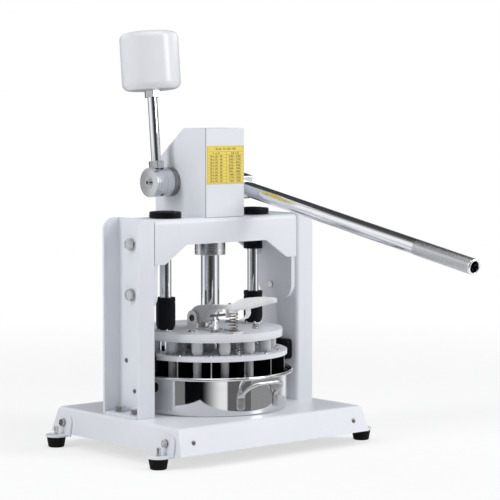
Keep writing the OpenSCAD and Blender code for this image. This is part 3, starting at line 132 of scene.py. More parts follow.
def grid_sheet(points: Array, along: Array, loop: bool = False) -> Sheet:
    """Skins a grid: point (i, j) joins (i, j + 1), (i + 1, j + 1) and (i + 1, j), and the columns close on themselves.

    Args:
        points: rows of points, shaped (rows, columns, 3).
        along: metres along the rows, one more value than there are rows where they loop.
        loop: whether the last row joins the first; otherwise each end row is closed by one flat face.

    Returns:
        The closed sheet.
    """
    rows, cols = points.shape[:2]
    i = np.arange(rows if loop else rows - 1)[:, None]
    j = np.arange(cols)[None, :]
    right, below = (j + 1) % cols, (i + 1) % rows
    quads = np.stack([i * cols + j, i * cols + right, below * cols + right, below * cols + j], -1).reshape(-1, 4)
    u = np.broadcast_to(np.stack([j, j + 1, j + 1, j], -1) / cols, (len(i), cols, 4))
    v = np.broadcast_to(np.stack([along[i], along[i], along[i + 1], along[i + 1]], -1), (len(i), cols, 4))
    uv = np.stack([u, v], -1).reshape(-1, 2)
    faces = quads.tolist()
    if not loop:
        last = (rows - 1) * cols
        faces += [list(range(cols))[::-1], list(range(last, last + cols))]
        uv = np.concatenate([uv, np.zeros((2 * cols, 2))])
    return Sheet(points.reshape(-1, 3), faces, uv)


def filleted(corners: Sequence[Sequence[float]], radii: Sequence[float], steps: int = 6) -> Array:
    """Turns a line's corners into arcs: each arc starts and ends at radius / tan(half the corner) from its corner.

    Args:
        corners: the line's points, in two or three dimensions.
        radii: one radius for each point; zero leaves it as it is, and the two ends are always left.
        steps: the pieces of each arc.

    Returns:
        The line's points with its arcs.
    """
    p = np.array(corners, float)
    out = [p[:1]]
    for k in range(1, len(p) - 1):
        a, b = p[k - 1] - p[k], p[k + 1] - p[k]
        a, b = a / np.linalg.norm(a), b / np.linalg.norm(b)
        half = math.acos(float(np.clip(a @ b, -1, 1))) / 2
        if radii[k] <= 0 or half > math.pi / 2 - 1e-4:
            out.append(p[k : k + 1])
            continue
        middle = p[k] + (a + b) / np.linalg.norm(a + b) * radii[k] / math.sin(half)
        start = p[k] + a * radii[k] / math.tan(half) - middle
        end = p[k] + b * radii[k] / math.tan(half) - middle
        turn = math.pi - 2 * half
        t = np.linspace(0, turn, steps + 1)[:, None]
        out.append(middle + (start * np.sin(turn - t) + end * np.sin(t)) / math.sin(turn))
    out.append(p[-1:])
    return np.concatenate(out)


def lathe(profile: Array, cols: int = 96, loop: bool = False) -> Sheet:
    """Turns a profile about Z: x = r cos a, y = r sin a, z kept, for angles a round the whole turn.

    Args:
        profile: points (r, z) in metres, with r above zero.
        cols: the points round each turn.
        loop: whether the profile is closed, as for a ring.

    Returns:
        The closed sheet, with metres along the profile in its map.
    """
    a = np.linspace(0, 2 * math.pi, cols, endpoint=False)
    r, z = profile[:, :1], profile[:, 1:]
    points = np.stack([r * np.cos(a), r * np.sin(a), np.broadcast_to(z, (len(r), cols))], -1)
    ends = np.concatenate([profile, profile[:1]]) if loop else profile
    along = np.concatenate([[0], np.cumsum(np.linalg.norm(np.diff(ends, axis=0), axis=1))])
    return grid_sheet(points, along, loop)


def prism(outline: Array, low: float, high: float) -> Sheet:
    """Draws a closed outline out along X: x from low to high, y = -(forward), z = (up) for each point (forward, up).

    Args:
        outline: the points (forward, up).
        low: where the prism starts along X.
        high: where it ends.

    Returns:
        The closed sheet.
    """
    ring = np.column_stack([-outline[:, 0], outline[:, 1]])
    ends = [np.column_stack([np.full(len(ring), x), ring]) for x in (low, high)]
    return grid_sheet(np.stack(ends), np.array([0, high - low]))


def swept(path: Array, wide: Array, thin: Array, side: Array, cols: int = 20, twist: Optional[Array] = None,
          square: Optional[Array] = None) -> Sheet:
    """Carries an oval along a path: point = path + wide * c(a) * n + thin * s(a) * b, with b the part of a side vector
    across the path, n = b x t, and c and s the cosine and sine raised to 2 / p so that p above 2 squares the oval.

    Args:
        path: points of the middle line, shaped (rows, 3).
        wide: half width of the section at each point.
        thin: half thickness of the section at each point.
        side: the side vector, one for all points or one for each.
        cols: the points round the section.
        twist: turn of the section at each point, in radians.
        square: the power p of the oval at each point, 2 where left out.

    Returns:
        The closed sheet.
    """
    t = np.gradient(path, axis=0)
    t /= np.linalg.norm(t, axis=1)[:, None]
    b = np.broadcast_to(np.array(side, float), path.shape)
    b = b - (b * t).sum(1)[:, None] * t
    b /= np.linalg.norm(b, axis=1)[:, None]
    n = np.cross(b, t)
    if twist is not None:
        c, s = np.cos(twist)[:, None], np.sin(twist)[:, None]
        n, b = n * c + b * s, b * c - n * s
    a = np.linspace(0, 2 * math.pi, cols, endpoint=False)[None, :]
    power = 1.0 if square is None else (2 / square)[:, None]
    ca = np.sign(np.cos(a)) * np.abs(np.cos(a)) ** power
    sa = np.sign(np.sin(a)) * np.abs(np.sin(a)) ** power
    points = (path[:, None, :] + (wide[:, None] * ca)[:, :, None] * n[:, None, :]
              + (thin[:, None] * sa)[:, :, None] * b[:, None, :])
    along = np.concatenate([[0], np.cumsum(np.linalg.norm(np.diff(path, axis=0), axis=1))])
    return grid_sheet(points, along)


def coil(radius: float, wire: float, turns: float, height: float, closed_turns: float = 0.9,
         per_turn: int = 28) -> Sheet:
    """A round wire wound about Z: x = r cos a, y = r sin a, and z climbs slowly over the closed end turns and evenly
    between them, the whole fitted between 0 and height with half a wire to spare at each end.

    Args:
        radius: the radius of the wire's middle line.
        wire: the wire's diameter.
        turns: the turns in all.
        height: the spring's length.
        closed_turns: the turns at each end that lie close.
        per_turn: the points to a turn.

    Returns:
        The closed sheet of the wire.
    """
    a = np.linspace(0, turns, int(turns * per_turn) + 1)
    lie = wire * 1.02
    knots = [0, closed_turns, turns - closed_turns, turns]
    low, high = wire / 2, height - wire / 2
    z = np.interp(a, knots, [low, low + lie * closed_turns, high - lie * closed_turns, high])
    smooth = np.convolve(np.pad(z, 6, mode="edge"), np.ones(13) / 13, mode="valid")
    angle = 2 * math.pi * a
    path = np.stack([radius * np.cos(angle), radius * np.sin(angle), smooth], 1)
    out = np.stack([np.cos(angle), np.sin(angle), np.zeros_like(angle)], 1)
    half = np.full(len(a), wire / 2)
    return swept(path, half, half, out, cols=12)


def at_shaft(sheet: Sheet, angle: float, x: float) -> Sheet:
    """A sheet made about the shaft's middle, leaned by an angle in degrees and put at its place along the shaft."""
    return sheet.turned(angle).moved(x, SHAFT_Y, SHAFT_Z)


def linked(name: str, data: bpy.types.ID) -> bpy.types.Object:
    """Puts data into the scene as an object at the origin.

    Args:
        name: the object's name.
        data: its mesh, curve, light or camera.

    Returns:
        The object.
    """
    made = bpy.data.objects.new(name, data)
    bpy.context.scene.collection.objects.link(made)
    return made


def smooth_object(name: str, mesh: bpy.types.Mesh, sharp: float) -> bpy.types.Object:
    """Puts a mesh into the scene, smooth but for its sharp edges.

    Args:
        name: the object's name.
        mesh: its mesh.
        sharp: the angle in degrees past which an edge is sharp.

    Returns:
        The object.
    """
    mesh.shade_smooth()
    mesh.set_sharp_from_angle(angle=math.radians(sharp))
    return linked(name, mesh)


def points_of(mesh: bpy.types.Mesh) -> Array:
    """Reads the points of a mesh.

    Args:
        mesh: the mesh.

    Returns:
        Its points, shaped (points, 3).
    """
    co = np.empty(len(mesh.vertices) * 3, np.float32)
    mesh.vertices.foreach_get("co", co)
    return co.reshape(-1, 3)


def sheet_object(name: str, sheet: Sheet, sharp: float = 34.0) -> bpy.types.Object:
    """Makes a mesh object of a sheet, with its faces outwards and edges sharper than an angle kept sharp.

    Args:
        name: the piece's name.
        sheet: its surface, in place.
        sharp: the angle in degrees.

    Returns:
        The object, at the origin.
    """
    mesh = bpy.data.meshes.new(name)
    mesh.from_pydata(sheet.points.tolist(), [], sheet.faces)
    mesh.uv_layers.new(name="grid").data.foreach_set("uv", sheet.uv.astype(np.float32).ravel())
    work = bmesh.new()
    work.from_mesh(mesh)
    bmesh.ops.recalc_face_normals(work, faces=work.faces)
    work.to_mesh(mesh)
    work.free()
    return smooth_object(name, mesh, sharp)


def soft_edges(piece: bpy.types.Object, width: float, segments: int, limit: float, harden: bool = True) -> None:
    """Bevels the edges of a piece that are sharper than an angle.

    Args:
        piece: the object.
        width: the width of the soft edge.
        segments: the pieces of each soft edge.
        limit: the angle in degrees.
        harden: whether the flats keep their own normals.
    """
    bevel = piece.modifiers.new("soft_edges", "BEVEL")
    bevel.width, bevel.segments = width, segments
    bevel.limit_method, bevel.angle_limit = "ANGLE", math.radians(limit)
    bevel.use_clamp_overlap, bevel.harden_normals = True, harden


def softened(node: str, name: str, width: float, segments: int = 2, limit: float = 32.0) -> bpy.types.Object:
    """A copy of a CAD node with soft edges: its triangles merged and joined into flats, then bevelled.

    Args:
        node: the CAD node.
        name: the copy's name.
        width: the width of the soft edge.
        segments: the pieces of each soft edge.
        limit: the angle in degrees past which an edge is softened.

    Returns:
        The copy, at the origin.
    """
    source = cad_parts[node].data
    corners = np.empty(len(source.loops), np.int32)
    source.loops.foreach_get("vertex_index", corners)
    mesh = bpy.data.meshes.new(name)
    mesh.from_pydata(points_of(source).tolist(), [], corners.reshape(-1, 3).tolist())
    work = bmesh.new()
    work.from_mesh(mesh)
    bmesh.ops.remove_doubles(work, verts=work.verts, dist=MERGE)
    bmesh.ops.dissolve_limit(work, angle_limit=math.radians(FLAT), verts=work.verts, edges=work.edges)
    work.to_mesh(mesh)
    work.free()
    made = smooth_object(name, mesh, limit)
    soft_edges(made, width, segments, limit)
    return made


# Shader maths


Number = Union["Sock", float]


class Sock:
    """A shader socket that turns sums written in Python into Math nodes."""

    def __init__(self, graph: "Graph", socket: bpy.types.NodeSocket) -> None:
        """Keeps the graph and the socket that it wraps."""
        self.graph = graph
        self.socket = socket

    def _math(self, operation: str, left: Number, right: Number = 0.0) -> "Sock":
        """One Math node on two values."""
        return self.graph.out("ShaderNodeMath", {"operation": operation}, {0: left, 1: right})

    def __add__(self, other: Number) -> "Sock":
        """Sum."""
        return self._math("ADD", self, other)

    def __radd__(self, other: Number) -> "Sock":
        """Sum, reflected."""
        return self._math("ADD", other, self)

    def __sub__(self, other: Number) -> "Sock":
        """Difference."""
        return self._math("SUBTRACT", self, other)

    def __rsub__(self, other: Number) -> "Sock":
        """Difference, reflected."""
        return self._math("SUBTRACT", other, self)

    def __mul__(self, other: Number) -> "Sock":
        """Product."""
        return self._math("MULTIPLY", self, other)

    def __rmul__(self, other: Number) -> "Sock":
        """Product, reflected."""
        return self._math("MULTIPLY", other, self)

    def __truediv__(self, other: Number) -> "Sock":
        """Quotient."""
        return self._math("DIVIDE", self, other)

    def __pow__(self, other: Number) -> "Sock":
        """Power."""
        return self._math("POWER", self, other)

    def __abs__(self) -> "Sock":
        """Size without its sign."""
        return self._math("ABSOLUTE", self)

    def most(self, other: Number) -> "Sock":
        """The larger of two values."""
        return self._math("MAXIMUM", self, other)

    def least(self, other: Number) -> "Sock":
        """The smaller of two values."""
        return self._math("MINIMUM", self, other)

    def wave(self) -> "Sock":
        """A wave from 0 to 1 and back as the value goes up by 1."""
        return abs(self._math("FRACT", self) - 0.5) * 2.0

    def step(self, low: float, high: float) -> "Sock":
        """A smooth step from 0 at low to 1 at high."""
        return self.graph.out("ShaderNodeMapRange", {"interpolation_type": "SMOOTHSTEP", "clamp": True},
                              {"Value": self, "From Min": low, "From Max": high, "To Min": 0.0, "To Max": 1.0})


class Graph:
    """The node tree of one material, made from nothing."""

    def __init__(self, tree: bpy.types.NodeTree) -> None:
        """Empties the tree and keeps it."""
        self.tree = tree
        tree.nodes.clear()

    def node(self, kind: str, settings: Optional[dict] = None, inputs: Optional[dict] = None) -> bpy.types.Node:
        """Adds any node.

        Args:
            kind: the node's type.
            settings: its own settings, set first.
            inputs: values or sockets for its inputs, by name or number.

        Returns:
            The node.
        """
        made = self.tree.nodes.new(kind)
        for key, value in (settings or {}).items():
            setattr(made, key, value)
        for key, value in (inputs or {}).items():
            if isinstance(value, Sock):
                self.tree.links.new(value.socket, made.inputs[key])
            else:
                made.inputs[key].default_value = value
        return made

    def out(self, kind: str, settings: Optional[dict] = None, inputs: Optional[dict] = None,
            output: Union[int, str] = 0) -> Sock:
        """Adds a node and wraps one of its outputs."""
        return Sock(self, self.node(kind, settings, inputs).outputs[output])

    def place(self) -> Sock:
        """The point on the piece, in metres in the shared frame."""
        return self.out("ShaderNodeTexCoord", output="Object")

    def grid(self) -> tuple[Sock, Sock]:
        """The piece's own map: turns round it, and metres along it."""
        return self.parts(self.out("ShaderNodeUVMap", {"uv_map": "grid"}))[:2]

    def parts(self, vector: Sock) -> tuple[Sock, Sock, Sock]:
        """The three numbers of a vector."""
        x, y, z = self.node("ShaderNodeSeparateXYZ", inputs={0: vector}).outputs
        return Sock(self, x), Sock(self, y), Sock(self, z)

    def away(self, one: Sock, two: Sock, middle: Sequence[float]) -> Sock:
        """The distance from an axis, by the two coordinates across it and its place in them."""
        one, two = one - middle[0], two - middle[1]
        return (one * one + two * two) ** 0.5

    def vector(self, x: Number, y: Number, z: Number) -> Sock:
        """A vector of three numbers."""
        return self.out("ShaderNodeCombineXYZ", inputs={0: x, 1: y, 2: z})

    def noise(self, vector: Sock, scale: float, detail: float = 2.0, rough: float = 0.5) -> Sock:
        """Smooth noise about a half, of so many lumps to a metre."""
        return self.out("ShaderNodeTexNoise", {"noise_dimensions": "3D"},
                        {"Vector": vector, "Scale": scale, "Detail": detail, "Roughness": rough})

    def streaks(self, vector: Sock, stretch: Sequence[float], detail: float = 2.0) -> Sock:
        """Noise drawn out by a stretch in X, Y and Z, as brushing leaves it."""
        drawn = self.out("ShaderNodeVectorMath", {"operation": "MULTIPLY"}, {0: vector, 1: tuple(stretch)})
        return self.noise(drawn, 1.0, detail)

    def mix(self, share: Number, first: Union[Sock, Colour], second: Union[Sock, Colour]) -> Sock:
        """A colour from the first to the second by a share."""
        ends = [c if isinstance(c, Sock) else (*c, 1.0) for c in (first, second)]
        return self.out("ShaderNodeMix", {"data_type": "RGBA"}, {0: share, 6: ends[0], 7: ends[1]}, output=2)

    def bump(self, height: Sock, distance: float, strength: float = 1.0) -> Sock:
        """A normal bent by a height from 0 to 1 that stands for a distance in metres."""
        return self.out("ShaderNodeBump", inputs={"Strength": strength, "Distance": distance, "Height": height})

    def finish(self, inputs: dict) -> None:
        """Ends the tree in one shader with these inputs."""
        shader = self.out("ShaderNodeBsdfPrincipled", inputs=inputs)
        self.node("ShaderNodeOutputMaterial", inputs={"Surface": shader})


# Finishes


def blank_material(name: str) -> tuple[bpy.types.Material, Graph]:
    """Makes a material with nothing in it.

    Args:
        name: the material's name.

    Returns:
        The material and its empty node tree.
    """
    made = bpy.data.materials.new(name)
    made.use_nodes = True
    return made, Graph(made.node_tree)


def toned(colour: Colour, share: float) -> Colour:
    """A colour made darker or lighter by a share."""
    red, green, blue = colour
    return red * share, green * share, blue * share


@dataclass(frozen=True)
class Finish:
    """A surface finish that draws its own material once."""

    name: str

    def draw(self, graph: Graph) -> None:
        """Draws the finish's nodes."""
        raise NotImplementedError

    def material(self) -> bpy.types.Material:
        """Makes the finish's material the first time it is asked for.

        Returns:
            The material.
        """
        name = "finish_" + self.name
        found = bpy.data.materials.get(name)
        if found is None:
            found, graph = blank_material(name)
            self.draw(graph)
        return found


@dataclass(frozen=True)
class Paint(Finish):
    """Sprayed coat: a faint cloudiness, fine orange peel, and gloss that varies a little; where a seam is given, a
    painted shadow line along it.
    """

    tint: Colour = (0.775, 0.797, 0.842)
    gloss: float = 0.36
    peel: float = 0.00006
    peel_scale: float = 620.0
    # The Y of a joint: within about a millimetre of it the tone is painted dark, a painted shadow standing in for the
    # shadow gap.
    seam: Optional[float] = None

    def draw(self, graph: Graph) -> None:
        """Tone from broad noise, gloss from finer noise, bump from the peel; a thin band across Y at the seam is
        painted dark, a painted shadow of the gap.

        Args:
            graph: the material\'s empty tree.
        """
        place = graph.place()
        cloud = graph.noise(place, 7.0, 3.0)
        peel = graph.noise(place, self.peel_scale, 1.0)
        grain = graph.noise(place, 60.0, 4.0)
        tone = graph.mix(cloud.step(0.35, 0.7), toned(self.tint, 0.965), self.tint)
        # Painted shadow: the tone goes dark grey within 0.7 to 1.2 mm of the seam's Y, in place of the shade in the gap
        # between housing and cover.
        if self.seam is not None:
            _, y, _ = graph.parts(place)
            tone = graph.mix(1.0 - abs(y - self.seam).step(0.0007, 0.0012), tone, (0.16, 0.165, 0.18))
        graph.finish({
            "Base Color": tone,
            "Roughness": self.gloss - 0.06 + grain * 0.12,
            "Normal": graph.bump(peel, self.peel, 0.5),
            "Specular IOR Level": 0.45,
        })


@dataclass(frozen=True)
class Metal(Finish):
    """Bare or plated metal: a tint with faint stains, and gloss broken by drawn-out lines."""

    tint: Colour = (0.62, 0.62, 0.63)
    stain: Colour = (0.50, 0.50, 0.51)
    gloss: float = 0.25
    spread: float = 0.12
    lines: tuple[float, float, float] = (40.0, 40.0, 2500.0)
    groove: float = 0.000004
    lumps: float = 45.0

    def draw(self, graph: Graph) -> None:
        """Stains from noise, gloss and bump from the lines.

        Args:
            graph: the material\'s empty tree.
        """
        place = graph.place()
        line = graph.streaks(place, self.lines)
        patch = graph.noise(place, self.lumps, 4.0, 0.6)
        graph.finish({
            "Base Color": graph.mix(patch.step(0.42, 0.72), self.tint, self.stain),
            "Metallic": 1.0,
            "Roughness": self.gloss + (line - 0.5) * self.spread + (patch - 0.5) * (self.spread * 0.6),
            "Normal": graph.bump(line, self.groove, 0.6),
        })


@dataclass(frozen=True)
class KnifeSteel(Finish):
    """Steel knives painted near black as painted shade of the deep cells between them, with bright steel left at their
    outer edges.
    """

    # tint and stain: near-black painted shade standing in for the shade inside the knife cells; bright: the knives'
    # steel at their outer edges.
    tint: Colour = (0.004, 0.0042, 0.005)
    stain: Colour = (0.007, 0.0073, 0.008)
    bright: Colour = (0.80, 0.805, 0.82)
    edge_from: float = 0.1447
    gloss: float = 0.52

    def draw(self, graph: Graph) -> None:
        """Grinding lines by height, and a mask by the distance from the press axis: bright steel outside it, painted
        shade inside.

        Args:
            graph: the material\'s empty tree.
        """
        place = graph.place()
        x, y, _ = graph.parts(place)
        unshaded_edge = graph.away(x, y, (0.0, PRESS_Y)).step(self.edge_from, self.edge_from + 0.0004)
        line = graph.streaks(place, (60.0, 60.0, 2200.0))
        patch = graph.noise(place, 45.0, 4.0, 0.6)
        # Base Color: near-black painted shade, except beyond edge_from where the outer edges show bright metallic
        # steel.
        graph.finish({
            "Base Color": graph.mix(unshaded_edge, graph.mix(patch.step(0.4, 0.75), self.tint, self.stain), self.bright),
            "Metallic": unshaded_edge,
            "Roughness": self.gloss + (line - 0.5) * 0.16 - unshaded_edge * 0.28,
            "Normal": graph.bump(line, 0.000005, 0.6),
            "Specular IOR Level": 0.03,
        })


@dataclass(frozen=True)
class Turned(Finish):
    """Lathe-turned steel: rings about the shaft on its flat faces and fine rings along it, with a tool mark or two."""

    tint: Colour = (0.70, 0.715, 0.75)
    stain: Colour = (0.57, 0.585, 0.615)
    gloss: float = 0.25
    cone: float = 0.07
    middle: tuple[float, float] = (SHAFT_Y, SHAFT_Z)
    along: str = "x"

    def draw(self, graph: Graph) -> None:
        """Rings by the distance from the axis and by the place along it.

        Args:
            graph: the material\'s empty tree.
        """
        x, y, z = graph.parts(graph.place())
        one, two, length = (y, z, x) if self.along == "x" else (x, y, z)
        across = graph.away(one, two, self.middle)
        ring = graph.noise(graph.vector(across * 2600.0, length * 2600.0, 0.0), 1.0, 2.0)
        broad = graph.noise(graph.vector(across * 260.0, length * 260.0, 3.0), 1.0, 2.0)
        patch = graph.noise(graph.place(), 38.0, 4.0)
        graph.finish({
            "Base Color": graph.mix(broad.step(0.3, 0.75), self.tint, self.stain),
            "Metallic": 1.0,
            "Roughness": self.gloss + (ring - 0.5) * 0.22 + (patch - 0.5) * 0.1,
            "Normal": graph.bump(ring * 0.9 + broad * 0.1 - across * (self.cone / 0.000008), 0.000008, 0.6),
        })


@dataclass(frozen=True)
class SpunSteel(Finish):
    """Bright spun stainless: rings that follow the piece's own map, soft hand marks, and a mirror under them."""

    tint: Colour = (0.78, 0.782, 0.79)
    gloss: float = 0.045

    def draw(self, graph: Graph) -> None:
        """Rings by metres along the profile, drawn out round it.

        Args:
            graph: the material\'s empty tree.
        """
        turn, along = graph.grid()
        ring = graph.noise(graph.vector(turn * 14.0, along * 3800.0, 0.0), 1.0, 3.0)
        wide = graph.noise(graph.vector(turn * 5.0, along * 420.0, 5.0), 1.0, 2.0)
        patch = graph.noise(graph.place(), 22.0, 5.0, 0.6)
        graph.finish({
            "Base Color": graph.mix(wide.step(0.3, 0.8), self.tint, toned(self.tint, 0.95)),
            "Metallic": 1.0,
            "Roughness": self.gloss + (ring - 0.5) * 0.03 + patch.step(0.5, 0.8) * 0.03,
            "Normal": graph.bump(ring, 0.0000008, 0.5),
        })


@dataclass(frozen=True)
class LeverChrome(Finish):
    """Chromed tube with a knurled grip over its far end: two sets of crossing ridges, satin beside the bright tube."""

    tint: Colour = (0.84, 0.855, 0.89)
    grip_tint: Colour = (0.68, 0.69, 0.71)
    grip_from: float = 0.0
    grip_to: float = 1.0
    ridges: float = 52.0
    pitch: float = 0.0032

    def draw(self, graph: Graph) -> None:
        """Ridges by turns and metres along, with painted shade darkening the grip's grooves; a mask by metres along
        picks tube or grip.

        Args:
            graph: the material\'s empty tree.
        """
        turn, along = graph.grid()
        begun = along.step(self.grip_from, self.grip_from + 0.0012)
        mask = begun * (1.0 - along.step(self.grip_to - 0.001, self.grip_to))
        one = (turn * self.ridges + along / self.pitch).wave()
        two = (turn * self.ridges - along / self.pitch).wave()
        knurl = one.least(two)
        line = graph.noise(graph.vector(turn * 30.0, along * 2600.0, 0.0), 1.0, 2.0)
        patch = graph.noise(graph.place(), 26.0, 4.0)
        # Painted shade: the grip's tint drops to 0.62 of itself in the knurl's grooves.
        grip = graph.mix(knurl.step(0.05, 0.5), toned(self.grip_tint, 0.62), self.grip_tint)
        tube = graph.mix(patch.step(0.45, 0.8), self.tint, toned(self.tint, 0.93))
        graph.finish({
            "Base Color": graph.mix(mask, tube, grip),
            "Metallic": 1.0,
            "Roughness": (0.13 + line * 0.05 + patch.step(0.5, 0.85) * 0.05) * (1.0 - mask) + mask * 0.27,
            "Normal": graph.bump(knurl * mask + line * 0.01, 0.00016, 0.5),
        })


@dataclass(frozen=True)
class Moulded(Finish):
    """Moulded rubber or plastic: a fine grain, paler scuffs, and dull and shiny patches."""

    tint: Colour = (0.014, 0.014, 0.015)
    scuff: Colour = (0.035, 0.035, 0.037)
    gloss: float = 0.5
    grain: float = 0.00003
    grain_scale: float = 1500.0
    shine: float = 0.5
    solid: float = 1.0

    def draw(self, graph: Graph) -> None:
        """Grain from fine noise, scuffs from broad noise.

        Args:
            graph: the material\'s empty tree.
        """
        place = graph.place()
        fine = graph.noise(place, self.grain_scale, 2.0)
        patch = graph.noise(place, 55.0, 5.0, 0.65)
        graph.finish({
            "Base Color": graph.mix(patch.step(0.5, 0.85), self.tint, self.scuff),
            "Roughness": self.gloss + (patch - 0.5) * 0.22,
            "Normal": graph.bump(fine, self.grain, 0.6),
            "Specular IOR Level": self.shine,
            "Alpha": self.solid,
        })


@dataclass(frozen=True)
class Cast(Finish):
    """Tumbled casting under a thin pale coat: pits, soft lumps, and a darker tone, as bare metal in random patches or
    as a fade along Y where a span is given.
    """

    tint: Colour = (0.63, 0.635, 0.645)
    bare: Colour = (0.50, 0.50, 0.51)
    gloss: float = 0.34
    metal: float = 0.55
    # The span of Y over which the tone turns darker; None leaves the darker tone in random patches.
    darker_over_y: Optional[tuple[float, float]] = None

    def draw(self, graph: Graph) -> None:
        """Lumps and pits from two noises; the darker tone comes in random patches, or fades in along Y over the given
        span.

        Args:
            graph: the material\'s empty tree.
        """
        place = graph.place()
        lump = graph.noise(place, 180.0, 3.0)
        pit = graph.noise(place, 900.0, 2.0)
        patch = graph.noise(place, 40.0, 4.0)
        tone = graph.mix(patch.step(0.4, 0.75), self.tint, toned(self.tint, 0.95))
        _, y, _ = graph.parts(place)
        # Over the given span the tone turns darker toward larger Y, that is toward the latch's pin.
        bare = y.step(*self.darker_over_y) if self.darker_over_y else patch.step(0.4, 0.75)
        graph.finish({
            "Base Color": graph.mix(bare, tone, self.bare),
            "Metallic": self.metal,
            "Roughness": self.gloss + (lump - 0.5) * 0.25,
            "Normal": graph.bump(lump * 0.7 + pit * 0.3, 0.00004, 0.4),
        })


@dataclass(frozen=True)
class ChartPrint(Finish):
    """Printed card: a yellow ground, a darker border, two heading rows, and a rule under each row."""

    ground: Colour = (0.84, 0.655, 0.095)
    border: Colour = (0.58, 0.42, 0.05)
    ink: Colour = (0.16, 0.12, 0.03)
    right: float = 0.0453
    top: float = 0.576
    low: float = 0.5035
    rows: float = 12.35
    heading: float = 1.85

    def draw(self, graph: Graph) -> None:
        """Rules by the place on the card, each a narrow step about its line.

        Args:
            graph: the material\'s empty tree.
        """
        place = graph.place()
        x, _, z = graph.parts(place)
        row = (self.top - z) * (self.rows / (self.top - self.low))
        rule = (row - self.heading).wave().step(0.84, 0.96) * row.step(1.4, 1.5) * (1.0 - row.step(11.9, 12.0))
        column = (1.0 - abs(x - 0.002).step(0.0002, 0.0005)) * row.step(self.heading, self.heading + 0.02)
        inside = 1.0 - abs(x).step(self.right - 0.0032, self.right - 0.0026)
        edge = abs(x).step(self.right - 0.0024, self.right - 0.0014)
        edge = edge.most(1.0 - row.step(0.16, 0.3)).most(row.step(self.rows - 0.3, self.rows - 0.16))
        fade = graph.noise(place, 90.0, 4.0)
        ground = graph.mix(fade.step(0.35, 0.8), self.ground, toned(self.ground, 0.94))
        card = graph.mix(edge * 0.6, ground, self.border)
        graph.finish({
            "Base Color": graph.mix(rule.most(column) * inside * 0.7, card, self.ink),
            "Roughness": 0.42 + (fade - 0.5) * 0.2,
            "Normal": graph.bump(fade, 0.00002, 0.3),
        })


@dataclass(frozen=True)
class Ink(Finish):
    """Printed ink, with a little uneven wear."""

    tint: Colour = (0.05, 0.045, 0.02)

    def draw(self, graph: Graph) -> None:
        """Tone from fine noise.

        Args:
            graph: the material\'s empty tree.
        """
        wear = graph.noise(graph.place(), 700.0, 3.0)
        graph.finish({
            "Base Color": graph.mix(wear.step(0.4, 0.8), self.tint, toned(self.tint, 2.2)),
            "Roughness": 0.45 + (wear - 0.5) * 0.2,
        })


WHITE_COAT = Paint("white_coat")
WHITE_GLOSS = Paint("white_gloss", tint=(0.765, 0.777, 0.812), gloss=0.24, peel=0.00004, peel_scale=260.0)
BLACK_RUBBER = Moulded("black_rubber", tint=(0.008, 0.008, 0.0085), scuff=(0.016, 0.016, 0.017), gloss=0.62,
                       grain=0.00006, shine=0.07)
BLACK_PLASTIC = Moulded("black_plastic", tint=(0.006, 0.0073, 0.010), scuff=(0.010, 0.0115, 0.0145), gloss=0.3,
                        shine=0.08)
WHITE_PLASTIC = Moulded("white_plastic", tint=(0.70, 0.715, 0.73), scuff=(0.62, 0.635, 0.65), gloss=0.3,
                        grain=0.00001)
FROSTED = Moulded("frosted_plastic", tint=(0.76, 0.78, 0.81), scuff=(0.68, 0.70, 0.73), gloss=0.34, grain=0.00002,
                  solid=0.74)
CHROME = Metal("chrome", tint=(0.86, 0.875, 0.905), stain=(0.80, 0.815, 0.845), gloss=0.06, spread=0.05,
               lines=(30.0, 30.0, 3200.0), groove=0.000002)
ZINC = Metal("zinc", tint=(0.64, 0.642, 0.65), stain=(0.44, 0.442, 0.45), gloss=0.22, spread=0.16,
             lines=(600.0, 600.0, 600.0), groove=0.000012, lumps=160.0)
DARK_ZINC = Metal("dark_zinc", tint=(0.30, 0.30, 0.305), stain=(0.17, 0.17, 0.175), gloss=0.28, spread=0.18,
                  lines=(700.0, 700.0, 700.0), groove=0.000012, lumps=160.0)
BLACK_STEEL = Metal("black_steel", tint=(0.045, 0.046, 0.05), stain=(0.025, 0.025, 0.028), gloss=0.34, spread=0.12,
                    lines=(700.0, 700.0, 700.0), groove=0.00001, lumps=160.0)
# The knives' dark colour is painted shade, and only their outer edges show as steel.
BLADE = KnifeSteel("blade_steel")
GEAR_STEEL = Metal("gear_steel", tint=(0.46, 0.462, 0.47), stain=(0.33, 0.33, 0.335), gloss=0.33, spread=0.16,
                   lines=(1800.0, 60.0, 60.0), groove=0.000008)
HANDLE_STEEL = Metal("handle_steel", tint=(0.70, 0.702, 0.71), stain=(0.60, 0.602, 0.61), gloss=0.3, spread=0.1,
                     lines=(300.0, 300.0, 300.0), groove=0.00002, lumps=70.0)
COPPER = Metal("copper_wire", tint=(0.30, 0.232, 0.175), stain=(0.15, 0.115, 0.085), gloss=0.26, spread=0.14,
               lines=(500.0, 500.0, 500.0), groove=0.000006, lumps=220.0)
HUB_STEEL = Turned("turned_steel")
BUSH_STEEL = Turned("turned_bush", middle=(0.0, PRESS_Y), along="z")
CAST_GREY = Cast("cast_grey")
# The pale casting is darker from y = 0.09 to 0.16, toward the latch's pin.
CAST_PALE = Cast("cast_pale", tint=(0.80, 0.805, 0.82), bare=(0.52, 0.525, 0.54), gloss=0.3, metal=0.0,
                 darker_over_y=(0.09, 0.16))
CHART = ChartPrint("chart_print")
INK = Ink("chart_ink")


# Sub-assemblies


@dataclass(frozen=True)
class Soft:
    """A CAD node that shows as a soft-edged copy: its finish and slot, and the width and pieces of each edge."""

    node: str
    finish: Finish
    slot: str
    width: float
    segments: int = 2


